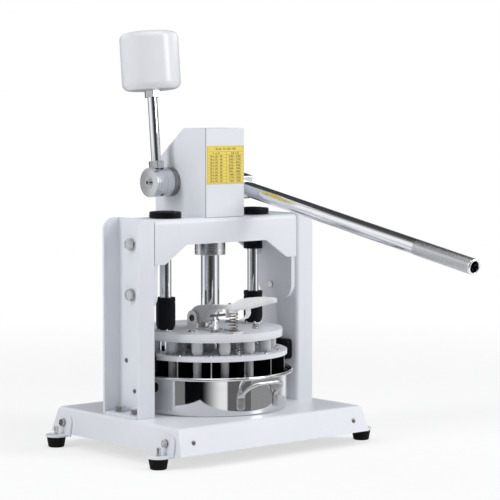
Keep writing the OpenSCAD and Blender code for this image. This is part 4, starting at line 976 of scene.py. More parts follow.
class SubAssembly:
    """What every sub-assembly does: build its pieces, then dress its CAD nodes."""

    body: Body = Body.FRAME
    soft: Sequence[Soft] = ()
    kept: Mapping[Finish, Sequence[str]] = {}

    def build(self) -> None:
        """Stands the soft-edged copies in their nodes' places; a sub-assembly adds its own pieces."""
        for one in self.soft:
            copy = softened(one.node, one.node + "_soft", one.width, one.segments)
            self.own(copy, one.finish, one.slot, [one.node])

    def dress(self) -> None:
        """Leaves the kept CAD nodes showing, each with its finish."""
        for finish, nodes in self.kept.items():
            for node in nodes:
                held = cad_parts[node]
                held.data.materials.clear()
                held.data.materials.append(finish.material())
                LOG.info("kept %s as %s", node, finish.name)

    def own(self, piece: bpy.types.Object, finish: Finish, slot: str, nodes: Sequence[str],
            body: Optional[Body] = None) -> None:
        """Finishes a new piece and puts it on its body.

        Args:
            piece: the object.
            finish: its finish.
            slot: the record's material slot; not used.
            nodes: the CAD nodes that it stands for.
            body: its body, the sub-assembly's own where left out.
        """
        piece.data.materials.append(finish.material())
        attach(piece, (body or self.body).value)
        if nodes:
            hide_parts(*nodes)
        LOG.info("made %s as %s", piece.name, finish.name)


@dataclass
class BaseStand(SubAssembly):
    """Folded base, its corner brackets, and four rubber feet on studs."""

    foot_x: float = 0.2515
    foot_y: float = 0.159
    foot_h: float = 0.020
    floor_d: float = 0.030
    edge: float = 0.0018
    body = Body.FRAME
    soft = (Soft("base_plate", WHITE_COAT, "white_paint", 0.0011, 3),
            Soft("foot_brackets", WHITE_COAT, "white_paint", 0.0008))
    kept = {ZINC: ("bracket_bolts", "foot_studs")}

    def build(self) -> None:
        """Soft-edged base and brackets, and feet turned from a tapered profile."""
        super().build()
        _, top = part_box("rubber_feet")
        floor_r, top_r = self.floor_d / 2, top.x - self.foot_x
        profile = filleted(
            [(0.002, 0.0008), (floor_r - 0.006, 0.0008), (floor_r - 0.005, 0.0), (floor_r, 0.0), (top_r, self.foot_h),
             (0.0075, self.foot_h), (0.0045, self.foot_h - 0.0005), (0.002, self.foot_h - 0.0005)],
            [0, 0.0005, 0.0005, 0.0025, self.edge, 0.0005, 0, 0])
        foot = lathe(profile, 64)
        feet = [foot.moved(x * self.foot_x, PRESS_Y + y * self.foot_y, 0) for x in (-1, 1) for y in (-1, 1)]
        self.own(sheet_object("feet", joined(feet)), BLACK_RUBBER, "black_rubber", ["rubber_feet"])


@dataclass
class Uprights(SubAssembly):
    """The two folded uprights, their plated bolts, and the guide pads and rubber bumpers inside them."""

    body = Body.FRAME
    soft = (Soft("left_upright", WHITE_COAT, "white_paint", 0.0012, 3),
            Soft("right_upright", WHITE_COAT, "white_paint", 0.0012, 3),
            Soft("guide_pads", BLACK_PLASTIC, "black_plastic", 0.0012))
    kept = {ZINC: ("frame_bolts", "frame_nuts"), DARK_ZINC: ("small_screws",), BLACK_RUBBER: ("pan_bumpers",)}


@dataclass
class Bridge(SubAssembly):
    """The folded bridge between the uprights, with its turned ram bush and the columns' black bushes."""

    body = Body.FRAME
    soft = (Soft("bridge", WHITE_COAT, "white_paint", 0.0012, 3), Soft("ram_bush", BUSH_STEEL, "turned_steel", 0.0008))
    kept = {BLACK_PLASTIC: ("guide_bushes",)}


@dataclass
class GearHead(SubAssembly):
    """The gear housing, its front cover with the portion chart, and the shaft's bearings."""

    rows: int = 9
    pieces: int = 18
    first: int = 30
    step: int = 5
    figure_h: float = 0.0033
    font_share: float = 1.45
    bold: float = 0.00011
    thick: float = 0.00003
    proud: float = 0.00006
    body = Body.FRAME
    soft = (Soft("head_cover", WHITE_COAT, "white_paint", 0.0009, 3),)
    kept = {CHART: ("portion_chart",), ZINC: ("head_screws",), DARK_ZINC: ("left_bearing", "right_bearing")}

    def build(self) -> None:
        """Soft-edged housing and cover, and the chart's plain figures."""
        low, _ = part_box("head_body")
        # The housing's coat carries a painted shadow line at its front edge, where the cover meets it.
        seam_shadow_coat = Paint("head_coat", seam=low.y)
        self.own(softened("head_body", "head_body_soft", 0.0012, 3), seam_shadow_coat, "white_paint", ["head_body"])
        super().build()
        self.own(self.figures(), INK, "chart", [])

    def figures(self) -> bpy.types.Object:
        """The chart's plain numbers: pieces and grams at the left, their product at the right, row by row.

        Returns:
            One mesh of all the figures, on the chart's face.
        """
        low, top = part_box("portion_chart")
        pitch = (top.z - low.z) / CHART.rows
        last = self.first + self.step * self.rows
        product = f"{self.pieces * self.first} - {self.pieces * last}"
        lines = [(0.95, f"{self.pieces} x {self.first} - {last} = {product}", 0.020, 0.050),
                 (2.35, f"1 x {self.step}", 0.0135, 0.017), (2.35, f"{self.pieces} x {self.step}", 0.058, 0.020)]
        for k in range(self.rows):
            least, most = self.first + self.step * k, self.first + self.step * (k + 1)
            lines += [(k + 3.35, f"{self.pieces} x {least} - {most}", 0.0065, 0.031),
                      (k + 3.35, f"{self.pieces * least} - {self.pieces * most}", 0.0535, 0.029)]
        points, faces, start = [], [], 0
        for row, words, x, wide in lines:
            curve = bpy.data.curves.new("figure", "FONT")
            curve.body = words
            curve.size = self.figure_h * self.font_share
            curve.resolution_u = 2
            curve.extrude = self.thick
            curve.offset = self.bold
            holder = linked("figure", curve)
            shape = bpy.data.meshes.new_from_object(holder.evaluated_get(bpy.context.evaluated_depsgraph_get()))
            co = points_of(shape)
            z = top.z - pitch * row - self.figure_h / 2
            across = low.x + x + co[:, 0] * (wide / co[:, 0].max())
            points.append(np.stack([across, low.y - self.proud - co[:, 2], z + co[:, 1]], 1))
            faces += [[start + v for v in face.vertices] for face in shape.polygons]
            start += len(co)
            bpy.data.objects.remove(holder)
            bpy.data.curves.remove(curve)
            bpy.data.meshes.remove(shape)
        mesh = bpy.data.meshes.new("chart_figures")
        mesh.from_pydata(np.concatenate(points).tolist(), [], faces)
        return linked("chart_figures", mesh)


@dataclass
class Counterweight(SubAssembly):
    """The weight on its chromed rod, the hub that turns it on the shaft, and the shaft and gear."""

    diameter: float = 0.113
    height: float = 0.110
    arm: float = 0.2325
    edge: float = 0.013
    lean: float = 5.4
    bore: float = 0.0186
    body = Body.CRANK
    soft = (Soft("weight_hub", HUB_STEEL, "turned_steel", 0.0010, 3), Soft("rod_nuts", ZINC, "zinc", 0.0008))
    kept = {CHROME: ("weight_rod",), ZINC: ("hub_screw",), DARK_ZINC: ("set_screws", "shaft_keys"),
            HUB_STEEL: ("pinion_shaft",), GEAR_STEEL: ("pinion",)}

    def build(self) -> None:
        """The weight turned from a round-cornered profile with a slight crown, and a soft-edged hub."""
        r, low = self.diameter / 2, self.arm - self.height / 2
        top = low + self.height
        b = self.bore / 2
        profile = filleted(
            [(b, low + 0.001), (b + 0.001, low), (r, low), (r, top), (0.03, top), (0.0004, top)],
            [0, 0.0004, self.edge, self.edge, 0.05, 0], 10)
        weight = at_shaft(lathe(profile, 144), -self.lean, -HUB_MID_X)
        self.own(sheet_object("weight", weight), WHITE_GLOSS, "white_iron", ["counterweight"])
        super().build()


@dataclass
class Lever(SubAssembly):
    """The chromed lever tube with its knurled grip, in the hub on the shaft's right end."""

    start: float = 0.0205
    length: float = 0.692
    diameter: float = 0.029
    bore: float = 0.021
    drop: float = 10.8
    grip: float = 0.142
    grip_gap: float = 0.004
    body = Body.CRANK
    soft = (Soft("lever_hub", HUB_STEEL, "turned_steel", 0.0010, 3),)

    def finish(self) -> LeverChrome:
        """The tube's finish, with the grip's place along its profile."""
        span = self.length - self.start
        return LeverChrome("lever_chrome", grip_from=span - self.grip, grip_to=span - self.grip_gap)

    def build(self) -> None:
        """The tube turned as a ring profile, laid along the lever, and a soft-edged hub."""
        r, b = self.diameter / 2, self.bore / 2
        profile = filleted(
            [(r, self.start), (r, self.start + 0.3), (r, self.length), (b, self.length), (b, self.start)],
            [0, 0, 0.0015, 0.001, 0], 5)
        tube = at_shaft(lathe(profile, 96, loop=True).turned(90), self.drop, HUB_MID_X)
        self.own(sheet_object("lever", tube), self.finish(), "chrome", ["lever_tube"])
        super().build()


@dataclass
class Columns(SubAssembly):
    """The chromed ram with its rack, and the two guide columns with their black caps and sleeves."""

    column_x: float = 0.109
    column_d: float = 0.022
    cap_d: float = 0.061
    cap_z: float = 0.4408
    cap_h: float = 0.0135
    sleeve_d: float = 0.037
    sleeve_z: float = 0.2285
    sleeve_h: float = 0.062
    body = Body.CARRIAGE
    soft = (Soft("column_nuts", ZINC, "zinc", 0.0006),)
    kept = {CHROME: ("ram", "guide_columns"), GEAR_STEEL: ("rack",)}

    def pair(self, profile: Array) -> Sheet:
        """A profile turned about both columns."""
        one = lathe(profile, loop=True)
        return joined([one.moved(x * self.column_x, PRESS_Y, 0) for x in (-1, 1)])

    def build(self) -> None:
        """Caps with a round edge and a raised middle, and sleeves with a tapered foot and a groove under the lip."""
        b, r = self.column_d / 2 + 0.0001, self.cap_d / 2
        low, top = self.cap_z, self.cap_z + self.cap_h
        cap = filleted(
            [(0.0006, top), (0.0165, top), (0.0175, top - 0.0022), (0.0235, top - 0.0022), (0.0250, top - 0.0012),
             (r, top - 0.0012), (r, low), (b, low), (b, top - 0.004), (0.0006, top - 0.004)],
            [0, 0.0006, 0.0008, 0.0008, 0.001, 0.0028, 0.0014, 0.0004, 0, 0])
        self.own(sheet_object("caps", self.pair(cap)), BLACK_PLASTIC, "black_plastic", ["column_caps"])
        s, low, top = self.sleeve_d / 2, self.sleeve_z, self.sleeve_z + self.sleeve_h
        sleeve = filleted(
            [(b, low), (s - 0.0026, low), (s, low + 0.0105), (s, top - 0.0105), (s - 0.0010, top - 0.0100),
             (s - 0.0010, top - 0.0088), (s, top - 0.0083), (s, top), (b, top)],
            [0, 0.0012, 0.02, 0.0004, 0.0004, 0.0004, 0.0004, 0.0013, 0.0003])
        self.own(sheet_object("sleeves", self.pair(sleeve)), BLACK_PLASTIC, "black_plastic", ["column_sleeves"])
        super().build()


@dataclass
class KnifeHead(SubAssembly):
    """The knife carrier with its ground knives, pins and return springs."""

    spring_r: float = 0.005
    wire: float = 0.0015
    turns: float = 6.0
    low: float = 0.1850
    high: float = 0.2104
    keep_share: float = 0.4155
    pin_gap: float = 12.0
    body = Body.CARRIAGE
    soft = (Soft("knife_carrier", WHITE_COAT, "white_paint", 0.0008),)
    kept = {BLADE: ("radial_knives", "ring_knife", "cross_knives"), ZINC: ("carrier_screws", "spring_pins")}

    def build(self) -> None:
        """Soft-edged carrier, and round-wire springs wound on the pins."""
        super().build()
        one = coil(self.spring_r, self.wire, self.turns, self.high - self.low)
        places = self.spring_places()
        springs = sheet_object("plate_springs", joined([one.moved(x, y, self.low) for x, y in places]))
        self.own(springs, ZINC, "zinc", ["return_springs"])
        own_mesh(springs)

    def spring_places(self) -> Array:
        """The middles of the springs, found as the middles of the pins that hold them.

        Returns:
            Points (x, y), one for each spring.
        """
        flat = points_of(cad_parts["spring_pins"].data)[:, :2].astype(float)
        angle = np.degrees(np.arctan2(flat[:, 1] - PRESS_Y, flat[:, 0]))
        order = np.argsort(angle)
        groups = np.split(flat[order], np.nonzero(np.diff(angle[order]) > self.pin_gap)[0] + 1)
        return np.array([(g.min(0) + g.max(0)) / 2 for g in groups])


@dataclass
class PressPlate(SubAssembly):
    """The press plate with its liner, its screw heads, and its frosted posts and blocks."""

    screw_ring: float = 0.0905
    screw_angles: tuple[float, ...] = (27.5, 55.0, 125.0, 152.5)
    screw_d: float = 0.013
    screw_z: float = 0.2257
    latch_screw_d: float = 0.0095
    latch_screw_up: float = 0.004
    latch_screws: tuple[tuple[float, float], ...] = ((-0.0321, -0.032568), (-0.0321, -0.073821))
    body = Body.PRESS
    soft = (Soft("press_plate", WHITE_COAT, "white_paint", 0.0012, 3),
            Soft("press_liner", WHITE_PLASTIC, "white_plastic", 0.0006))
    kept = {FROSTED: ("press_posts", "press_blocks")}

    def build(self) -> None:
        """Soft-edged plate and liner, and domed screw heads."""
        super().build()
        head, z = self.head(self.screw_d), self.screw_z
        turns = np.radians([side * angle for angle in self.screw_angles for side in (-1, 1)])
        heads = [head.moved(self.screw_ring * math.cos(a), PRESS_Y + self.screw_ring * math.sin(a), z) for a in turns]
        head = self.head(self.latch_screw_d)
        heads += [head.moved(x, PRESS_Y + y, z + self.latch_screw_up) for x, y in self.latch_screws]
        self.own(sheet_object("plate_heads", joined(heads)), DARK_ZINC, "zinc", ["plate_screws"])

    def head(self, wide: float) -> Sheet:
        """A domed screw head with a round socket: a profile in shares of its radius, turned about Z from its foot.

        Args:
            wide: the head's diameter.

        Returns:
            The closed sheet.
        """
        r = wide / 2
        return lathe(filleted(
            [(0.0003, r * 0.16), (r * 0.42, r * 0.16), (r * 0.46, r * 0.60), (r * 0.78, r * 0.52), (r, r * 0.12),
             (r, -0.0004)],
            [0, 0, r * 0.05, r * 0.5, r * 0.08, 0]), 40)


@dataclass
class HandLatch(SubAssembly):
    """The hand latch on the press plate, its bracket, dark pin and rod, and copper-coloured spring."""

    pivot_z: float = 0.2467
    edge: float = 0.0012
    edge_angle: float = 50.0
    screw_at: tuple[float, float] = (-0.097, 0.0325)
    pin_head_x: float = -0.0135
    hub_w: float = 0.0172
    pawl_over: float = 0.0391
    lug: float = 0.0909
    seat: tuple[float, float] = (0.0089, 0.01782)
    spring_x: float = -0.0321
    spring_y: float = 0.102151
    spring_r: float = 0.0075
    wire: float = 0.0018
    turns: float = 7.0
    low: float = 0.2300
    high: float = 0.2642
    keep_share: float = 0.39
    body = Body.PRESS
    soft = (Soft("latch_bracket", CAST_GREY, "grey_cast", 0.0012, 3),)
    kept = {DARK_ZINC: ("latch_pin", "latch_rod")}

    def build(self) -> None:
        """Soft-edged bracket, the lever with its screw, the pin's black head, and a round-wire spring."""
        super().build()
        lever = sheet_object("latch_handle", self.placed(joined([self.yoke(), self.paddle(), *self.fittings()])))
        soft_edges(lever, self.edge, 3, self.edge_angle, harden=False)
        self.own(lever, CAST_PALE, "grey_cast", ["latch_lever"], Body.LATCH)
        dome = filleted([(0.0034, 0), (0.0034, 0.0012), (0.0020, 0.0024), (0.0003, 0.0024)], [0, 0.0005, 0.001, 0])
        screw = self.placed(lathe(dome, 32).moved(0, *self.screw_at))
        self.own(sheet_object("latch_screw", screw), DARK_ZINC, "zinc", [], Body.LATCH)
        head = filleted([(0.0003, -0.0003), (0.0030, -0.0003), (0.0032, -0.0016), (0.0062, -0.0016), (0.0066, -0.0008),
                         (0.0066, 0.0002)], [0, 0, 0, 0.0005, 0.0006, 0])
        pin = lathe(head, 48).turned(90, "y").moved(self.pin_head_x, 0, 0)
        self.own(sheet_object("latch_pin_head", self.placed(pin)), BLACK_STEEL, "zinc", [])
        wound = coil(self.spring_r, self.wire, self.turns, self.high - self.low)
        spring = sheet_object("latch_coil", wound.moved(self.spring_x, self.spring_y, self.low))
        self.own(spring, COPPER, "copper_wire", ["latch_spring"])
        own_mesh(spring)

    def placed(self, sheet: Sheet) -> Sheet:
        """A sheet made about the pin's middle, put at the pin's place."""
        return sheet.moved(self.spring_x, PRESS_Y, self.pivot_z)

    def yoke(self) -> Sheet:
        """The lever's root: its side outline, forward and up from the pin, drawn out to the hub's width.

        Returns:
            The closed sheet about the pin.
        """
        corners = [(-0.013, 0), (-0.013, 0.010), (0.002, 0.0215), (0.014, 0.0252), (0.058, 0.0296), (0.058, 0.0208),
                   (0.050, 0.0195), (0.036, -0.002), (0.020, -0.009), (0, -0.0134), (-0.013, -0.010), (-0.013, 0)]
        radii = [0, 0.009, 0.006, 0.012, 0, 0, 0.008, 0.005, 0.008, 0.012, 0.009, 0]
        return prism(filleted(corners, radii)[:-1], -self.hub_w / 2, self.hub_w / 2)

    def paddle(self) -> Sheet:
        """The lever's neck and paddle: at each place forward, a squared oval between the top and the underside.

        Returns:
            The closed sheet about the pin.
        """
        forward = np.array([46, 56, 70, 88, 98, 108, 120, 132, 142, 155, 172, 192, 210, 219, 223.5, 226]) / 1000
        top = np.array([27.6, 28.9, 29.9, 31, 32.2, 34.2, 37.2, 42.5, 46.8, 49.6, 51.8, 53.6, 54.4, 54.4, 53.9,
                        52]) / 1000
        low = np.array([20.8, 21.6, 22.2, 22.4, 22.2, 22, 22.6, 24.4, 26.3, 29, 33, 38, 42, 43.8, 45, 47.4]) / 1000
        half = np.array([7.6, 6.4, 5.8, 5.8, 7.4, 9.6, 11.6, 13, 13.4, 13.4, 13.4, 13.2, 12.6, 10.6, 8.4, 5]) / 1000
        v = np.linspace(forward[0], forward[-1], 96)
        t, b, w = (np.interp(v, forward, line) for line in (top, low, half))
        path = np.stack([np.zeros_like(v), -v, (t + b) / 2], 1)
        return swept(path, (t - b) / 2, w, np.array([1.0, 0.0, 0.0]), 36, square=np.full(len(v), 4.2))

    def fittings(self) -> list[Sheet]:
        """The lug that holds the rod, the spring's seat, the pawl that reaches the ram, and the hook under the paddle.

        Returns:
            Closed sheets about the pin.
        """
        lug = np.array([(self.lug, 0.0072), (self.lug, 0.025), (self.lug + 0.005, 0.025), (self.lug + 0.005, 0.0072)])
        pawl = np.array([(0.0187, 0.010), (0.0187, 0.019), (0.0292, 0.019), (0.0292, 0.010)])
        seat = lathe(np.array([(self.seat[0], self.seat[1]), (self.seat[0], 0.026)]), 48)
        line = filleted([(0.150, 0.032), (0.1515, 0.018), (0.144, 0.0105), (0.130, 0.006)], [0, 0.008, 0.012, 0], 8)
        path = np.column_stack([np.zeros(len(line)), -line])
        path[:, 2] *= -1
        share = np.linspace(1, 0, len(line))
        hook = swept(path, 0.0009 + 0.0018 * share, np.full(len(line), 0.0052), np.array([1.0, 0.0, 0.0]), 24,
                     square=np.full(len(line), 4.0))
        return [prism(lug, -0.0055, 0.0055), prism(pawl, 0.0, self.pawl_over),
                seat.moved(0, self.spring_y - PRESS_Y, 0), hook]


@dataclass
class DoughPan(SubAssembly):
    """The spun pan with its rolled rim and its two bail handles."""

    radius: float = 0.148
    height: float = 0.074
    wall: float = 0.001
    corner: float = 0.003
    rim: float = 0.160
    bead: float = 0.00325
    floor_z: float = 0.0732
    handle_w: float = 0.086
    reach: float = 0.028
    rise: float = 0.026
    rod: float = 0.0035
    bend: float = 0.025
    tab_w: float = 0.016
    tab_h: float = 0.030
    tab_t: float = 0.0025
    tab_up: float = 0.010
    tab_low: float = 0.0008
    wall_gap: float = 0.0002
    knee_bend: float = 0.005
    flat_len: float = 0.0235
    ease_len: float = 0.016
    end_round: float = 0.006
    body = Body.PAN
    kept = {HANDLE_STEEL: ("pan_rivets",)}

    def build(self) -> None:
        """The pan turned from its section, and each handle swept from flat end to flat end."""
        self.own(sheet_object("dough_pan", self.shell().moved(0, PRESS_Y, self.floor_z)), SpunSteel("spun_steel"),
                 "stainless", ["pan", "pan_floor"])
        front = self.bail()
        both = joined([front.moved(0, PRESS_Y, 0), front.turned(180, "z").moved(0, PRESS_Y, 0)])
        self.own(sheet_object("bails", both, 50.0), HANDLE_STEEL, "stainless", ["pan_handles"])

    def shell(self) -> Sheet:
        """The pan's wall: up the outside, round the rolled bead, and down the inside.

        Returns:
            The closed shell about Z, standing on Z = 0.
        """
        r, t, top = self.radius, self.wall, self.height - self.bead
        middle = self.rim - self.bead
        turn = np.linspace(math.radians(-168), math.radians(168), 25)
        bead = np.stack([middle + self.bead * np.cos(turn), top + self.bead * np.sin(turn)], 1)
        outer = filleted([(0.0004, 0), (r, 0), (r, top - t / 2), bead[0]], [0, self.corner, 0.0022, 0], 9)
        inner = filleted([bead[-1], (r - t, top + t / 2), (r - t, t), (0.0004, t)], [0, 0.0032, self.corner - t, 0], 9)
        return lathe(np.concatenate([outer, bead[1:-1], inner]), 160)

    def bail(self) -> Sheet:
        """The front handle: flat against the wall at both ends, round and bowed between them.

        Returns:
            The closed sheet about Z, at the height of the pan.
        """
        half, base = self.handle_w / 2, self.floor_z + self.tab_up
        lean = math.asin(half / self.radius)
        wall_y = -self.radius * math.cos(lean) - self.tab_t / 2 - self.wall_gap
        knee = base + self.tab_h - self.rod
        far_y = -(self.radius + self.reach - self.rod)
        low, high = base + self.tab_low, knee + self.rise
        corners = [(half, wall_y, low), (half, wall_y, knee), (half, far_y, high),
                   (-half, far_y, high), (-half, wall_y, knee), (-half, wall_y, low)]
        path = filleted(corners, [0, self.knee_bend, self.bend, self.bend, self.knee_bend, 0], 10)
        gone = np.concatenate([[0], np.cumsum(np.linalg.norm(np.diff(path, axis=0), axis=1))])
        fine = np.linspace(0, gone[-1], 150)
        path = np.stack([np.interp(fine, gone, path[:, k]) for k in range(3)], 1)
        near = np.minimum(fine, fine[-1] - fine)
        round_share = np.clip((near - self.flat_len) / self.ease_len, 0, 1)
        flat = 1 - round_share ** 2 * (3 - 2 * round_share)
        end = np.sqrt(np.clip(1 - ((self.end_round - near) / (self.end_round + 0.0001)).clip(0, 1) ** 2, 0.02, 1))
        wide = (self.rod * (1 - flat) + self.tab_w / 2 * flat) * end
        thin = self.rod * (1 - flat) + self.tab_t / 2 * flat
        slant = math.atan2(self.rise, abs(far_y - wall_y))
        side = np.array([0.0, -math.sin(slant), -math.cos(slant)])
        return swept(path, wide, thin, side, 28, flat * lean, 2 + 2.5 * flat)


# Studio


@dataclass(frozen=True)
class Flag:
    """A dark upright flag bent round the object, clear of it: it fades in from start to full, and out from last to end,
    in degrees as the camera's azimuth counts."""

    start: float
    full: float
    last: float
    end: float
    radius: float
    low: float
    high: float
    dark: float = 1.0


@dataclass(frozen=True)
class Lamp:
    """A soft light: its place, the point that it is aimed at, its width and height, and whether metal shows it."""

    name: str
    spot: tuple[float, float, float]
    aim: tuple[float, float, float]
    size: tuple[float, float]
    power: float
    shown: bool = True


@dataclass
class Studio:
    """The floor, the soft lights, the dark flags that metal reflects, and the camera."""

    azimuth: float = -40.5
    pitch: float = 4.2
    lens: float = 147.6
    sensor: float = 36.0
    distance: float = 3.9476
    target_right: float = 0.0769
    target_z: float = 0.3749
    ambient: float = 0.28
    sky: Colour = (0.93, 0.96, 1.0)
    floor_half: float = 14.0
    glow_near: float = 0.62
    fade_from: float = 0.75
    fade_to: float = 2.4
    flag_cols: int = 33
    ceiling_x: tuple[float, float] = (-3.9, 6.0)
    ceiling_y: tuple[float, float] = (-0.3, 8.0)
    ceiling_z: float = 3.7
    ceiling_full: float = 0.34
    ceiling_dark: float = 0.95
    flags: list[Flag] = field(default_factory=lambda: [
        Flag(-105, -50, -30, 20, 1.3, 0.08, 1.2, 0.8), Flag(-60, -45, 16, 28, 1.32, 0.08, 1.2, 0.82),
        Flag(-125, -116, -62, -45, 1.34, 0.08, 0.6, 0.4), Flag(45, 80, 128, 140, 1.3, 0.08, 0.9, 0.85),
        Flag(122, 130, 154, 172, 1.36, 0.08, 1.2), Flag(158, 163, 194, 202, 1.3, 0.08, 1.2, 0.9),
        Flag(-160, -152, -146, -138, 2.9, 0.0, 1.12, 0.8),
        Flag(-99, -98, -71, -70, 0.445, 0.0, 0.15, 0.78), Flag(-71.5, -71, -50, -24, 0.44, 0.0, 0.15),
        Flag(-19.4, -16.9, 13.8, 14.6, 0.44, 0.0, 0.15, 0.86), Flag(14, 14.6, 64, 90, 0.44, 0.0, 0.15, 0.68),
        Flag(108, 112, 128, 150, 0.44, 0.0, 0.15), Flag(168, 172, 190, 208, 0.44, 0.0, 0.15, 0.8),
        Flag(-138, -134, -120, -106, 0.44, 0.0, 0.15, 0.8)])
    lamps: list[Lamp] = field(default_factory=lambda: [
        Lamp("front", (1.75, -2.45, 2.0), (0, 0.2, 0.3), (1.1, 2.6), 66.0),
        Lamp("left", (-3.05, 0.65, 2.1), (0, 0.2, 0.35), (0.9, 2.6), 53.0, shown=False),
        Lamp("top", (-0.2, -0.4, 3.4), (0, 0.2, 0.2), (2.4, 2.4), 30.0),
        Lamp("right", (3.0, 0.4, 1.6), (0, 0.2, 0.35), (2.0, 2.0), 10.0),
        Lamp("back", (0.2, 3.4, 1.7), (0, 0.2, 0.35), (2.4, 2.4), 20.0)])

    def build(self) -> None:
        """Makes the whole studio."""
        self.world()
        self.floor()
        for lamp in self.lamps:
            self.light(lamp)
        for number, flag in enumerate(self.flags):
            self.flag(number, flag)
        self.ceiling()
        self.camera()
        bpy.context.scene.view_settings.view_transform = "Standard"

    def world(self) -> None:
        """White for the camera, for gloss and for glass, and a plain soft level for the rest."""
        world = bpy.data.worlds.new("studio")
        world.use_nodes = True
        bpy.context.scene.world = world
        graph = Graph(world.node_tree)
        soft = graph.out("ShaderNodeBackground", inputs={"Color": (*self.sky, 1.0), "Strength": self.ambient})
        white = graph.out("ShaderNodeBackground", inputs={"Color": (1.0, 1.0, 1.0, 1.0), "Strength": 1.0})
        mixed = graph.out("ShaderNodeMixShader", inputs={0: self.seen(graph), 1: soft, 2: white})
        graph.node("ShaderNodeOutputWorld", inputs={"Surface": mixed})

    def seen(self, graph: Graph) -> Sock:
        """Tells what is seen from light that bounces.

        Args:
            graph: the tree of a material or the world.

        Returns:
            One for what the camera, gloss or glass sees, and otherwise nought.
        """
        path = graph.node("ShaderNodeLightPath")
        kinds = ("Camera", "Glossy", "Transmission")
        camera, gloss, glass = (Sock(graph, path.outputs[f"Is {kind} Ray"]) for kind in kinds)
        return camera.most(gloss).most(glass)

    def floor(self) -> None:
        """A wide pale floor that keeps the object's shadow and fades to white away from it."""
        half = self.floor_half
        mesh = bpy.data.meshes.new("floor")
        mesh.from_pydata([(-half, -half, 0), (half, -half, 0), (half, half, 0), (-half, half, 0)], [], [(0, 1, 2, 3)])
        paper, graph = blank_material("floor_paper")
        x, y, _ = graph.parts(graph.place())
        far = graph.away(x, y, (0.0, PRESS_Y)).step(self.fade_from, self.fade_to)
        glow = far * (1.0 - self.glow_near) + self.glow_near
        tone = graph.mix(graph.noise(graph.place(), 40.0, 3.0), (0.88, 0.88, 0.88), (0.92, 0.92, 0.92))
        lit = graph.out("ShaderNodeBsdfDiffuse", inputs={"Color": tone})
        white = graph.out("ShaderNodeEmission", inputs={"Color": (1.0, 1.0, 1.0, 1.0), "Strength": 1.0})
        mixed = graph.out("ShaderNodeMixShader", inputs={0: self.seen(graph) * glow, 1: lit, 2: white})
        graph.node("ShaderNodeOutputMaterial", inputs={"Surface": mixed})
        mesh.materials.append(paper)
        linked("floor", mesh)

    def light(self, lamp: Lamp) -> None:
        """Makes one soft light and turns it to its aim.

        Args:
            lamp: the light's place, aim, size and power.
        """
        data = bpy.data.lights.new(lamp.name, "AREA")
        data.shape = "RECTANGLE"
        data.size, data.size_y = lamp.size
        data.energy = lamp.power
        made = linked(lamp.name, data)
        made.visible_glossy = lamp.shown
        made.location = lamp.spot
        made.rotation_euler = (Vector(lamp.aim) - Vector(lamp.spot)).to_track_quat("-Z", "Y").to_euler()

    def flag(self, number: int, flag: Flag) -> None:
        """A grid bent round the object: x = r sin a, y = -r cos a from the press's axis, with its fade along its map.

        Args:
            number: the flag's number, for its name.
            flag: its place and darkness.
        """
        cols = self.flag_cols
        share = np.linspace(0, 1, cols)
        a = np.radians(flag.start + (flag.end - flag.start) * share)
        rim = np.stack([flag.radius * np.sin(a), PRESS_Y - flag.radius * np.cos(a)], 1)
        points = np.concatenate([np.column_stack([rim, np.full(cols, z)]) for z in (flag.low, flag.high)])
        k = np.arange(cols - 1)
        faces = np.stack([k, k + 1, k + cols + 1, k + cols], 1)
        span = flag.end - flag.start
        self.felt(f"flag_{number}", points, faces, np.concatenate([share, share])[faces.ravel()],
                  (flag.full - flag.start) / span, (flag.last - flag.start) / span, flag.dark)

    def ceiling(self) -> None:
        """A dark ceiling over the back, which gives the lever its dark upper side."""
        (x0, x1), (y0, y1), z = self.ceiling_x, self.ceiling_y, self.ceiling_z
        points = np.array([(x0, y0, z), (x1, y0, z), (x1, y1, z), (x0, y1, z)])
        self.felt("flag_ceiling", points, np.array([[0, 1, 2, 3]]), np.array([0.0, 1.0, 1.0, 0.0]), self.ceiling_full,
                  1.0, self.ceiling_dark)

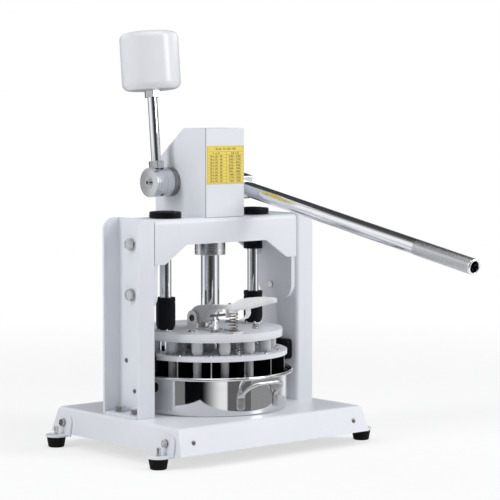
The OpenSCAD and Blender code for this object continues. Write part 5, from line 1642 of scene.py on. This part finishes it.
    def felt(self, name: str, points: Array, faces: Array, share: Array, full: float, last: float, dark: float) -> None:
        """A flag's mesh and cloth, seen by reflections alone.

        Args:
            name: the flag's name.
            points: its points.
            faces: its faces, four points each.
            share: the place from 0 to 1 across the flag of each face corner.
            full: the share where the flag has faded in.
            last: the share where it starts to fade out.
            dark: how much of what is behind it the flag hides.
        """
        mesh = bpy.data.meshes.new(name)
        mesh.from_pydata(points.tolist(), [], faces.tolist())
        pairs = np.stack([share, np.zeros_like(share)], 1).astype(np.float32)
        mesh.uv_layers.new(name="grid").data.foreach_set("uv", pairs.ravel())
        cloth, graph = blank_material(name)
        place, _ = graph.grid()
        hide = place.step(-0.001, full) * (1.0 - place.step(last, 1.001)) * dark
        nap = graph.mix(graph.noise(graph.place(), 30.0, 3.0), (0.003, 0.0034, 0.0042), (0.006, 0.0066, 0.008))
        black = graph.out("ShaderNodeBsdfDiffuse", inputs={"Color": nap})
        clear = graph.out("ShaderNodeBsdfTransparent")
        mixed = graph.out("ShaderNodeMixShader", inputs={0: hide, 1: clear, 2: black})
        graph.node("ShaderNodeOutputMaterial", inputs={"Surface": mixed})
        mesh.materials.append(cloth)
        made = linked(name, mesh)
        made.visible_camera = made.visible_diffuse = made.visible_shadow = made.visible_transmission = False

    def camera(self) -> None:
        """The camera at the photograph's angle."""
        a, e = math.radians(self.azimuth), math.radians(self.pitch)
        back = Vector((math.sin(a) * math.cos(e), -math.cos(a) * math.cos(e), math.sin(e)))
        aim = Vector((math.cos(a), math.sin(a), 0)) * self.target_right + Vector((0, PRESS_Y, self.target_z))
        data = bpy.data.cameras.new("camera")
        data.lens = self.lens
        data.sensor_width = self.sensor
        made = linked("camera", data)
        made.location = aim + back * self.distance
        made.rotation_euler = (-back).to_track_quat("-Z", "Y").to_euler()
        bpy.context.scene.camera = made


def main() -> None:
    """Builds the studio and every sub-assembly."""
    logging.basicConfig(level=logging.INFO, format="%(message)s")
    Studio().build()
    for part in (BaseStand(), Uprights(), Bridge(), GearHead(), Counterweight(), Lever(), Columns(), KnifeHead(),
                 PressPlate(), HandLatch(), DoughPan()):
        LOG.info("building %s", type(part).__name__)
        part.build()
        part.dress()


if __name__ == "__main__":
    main()
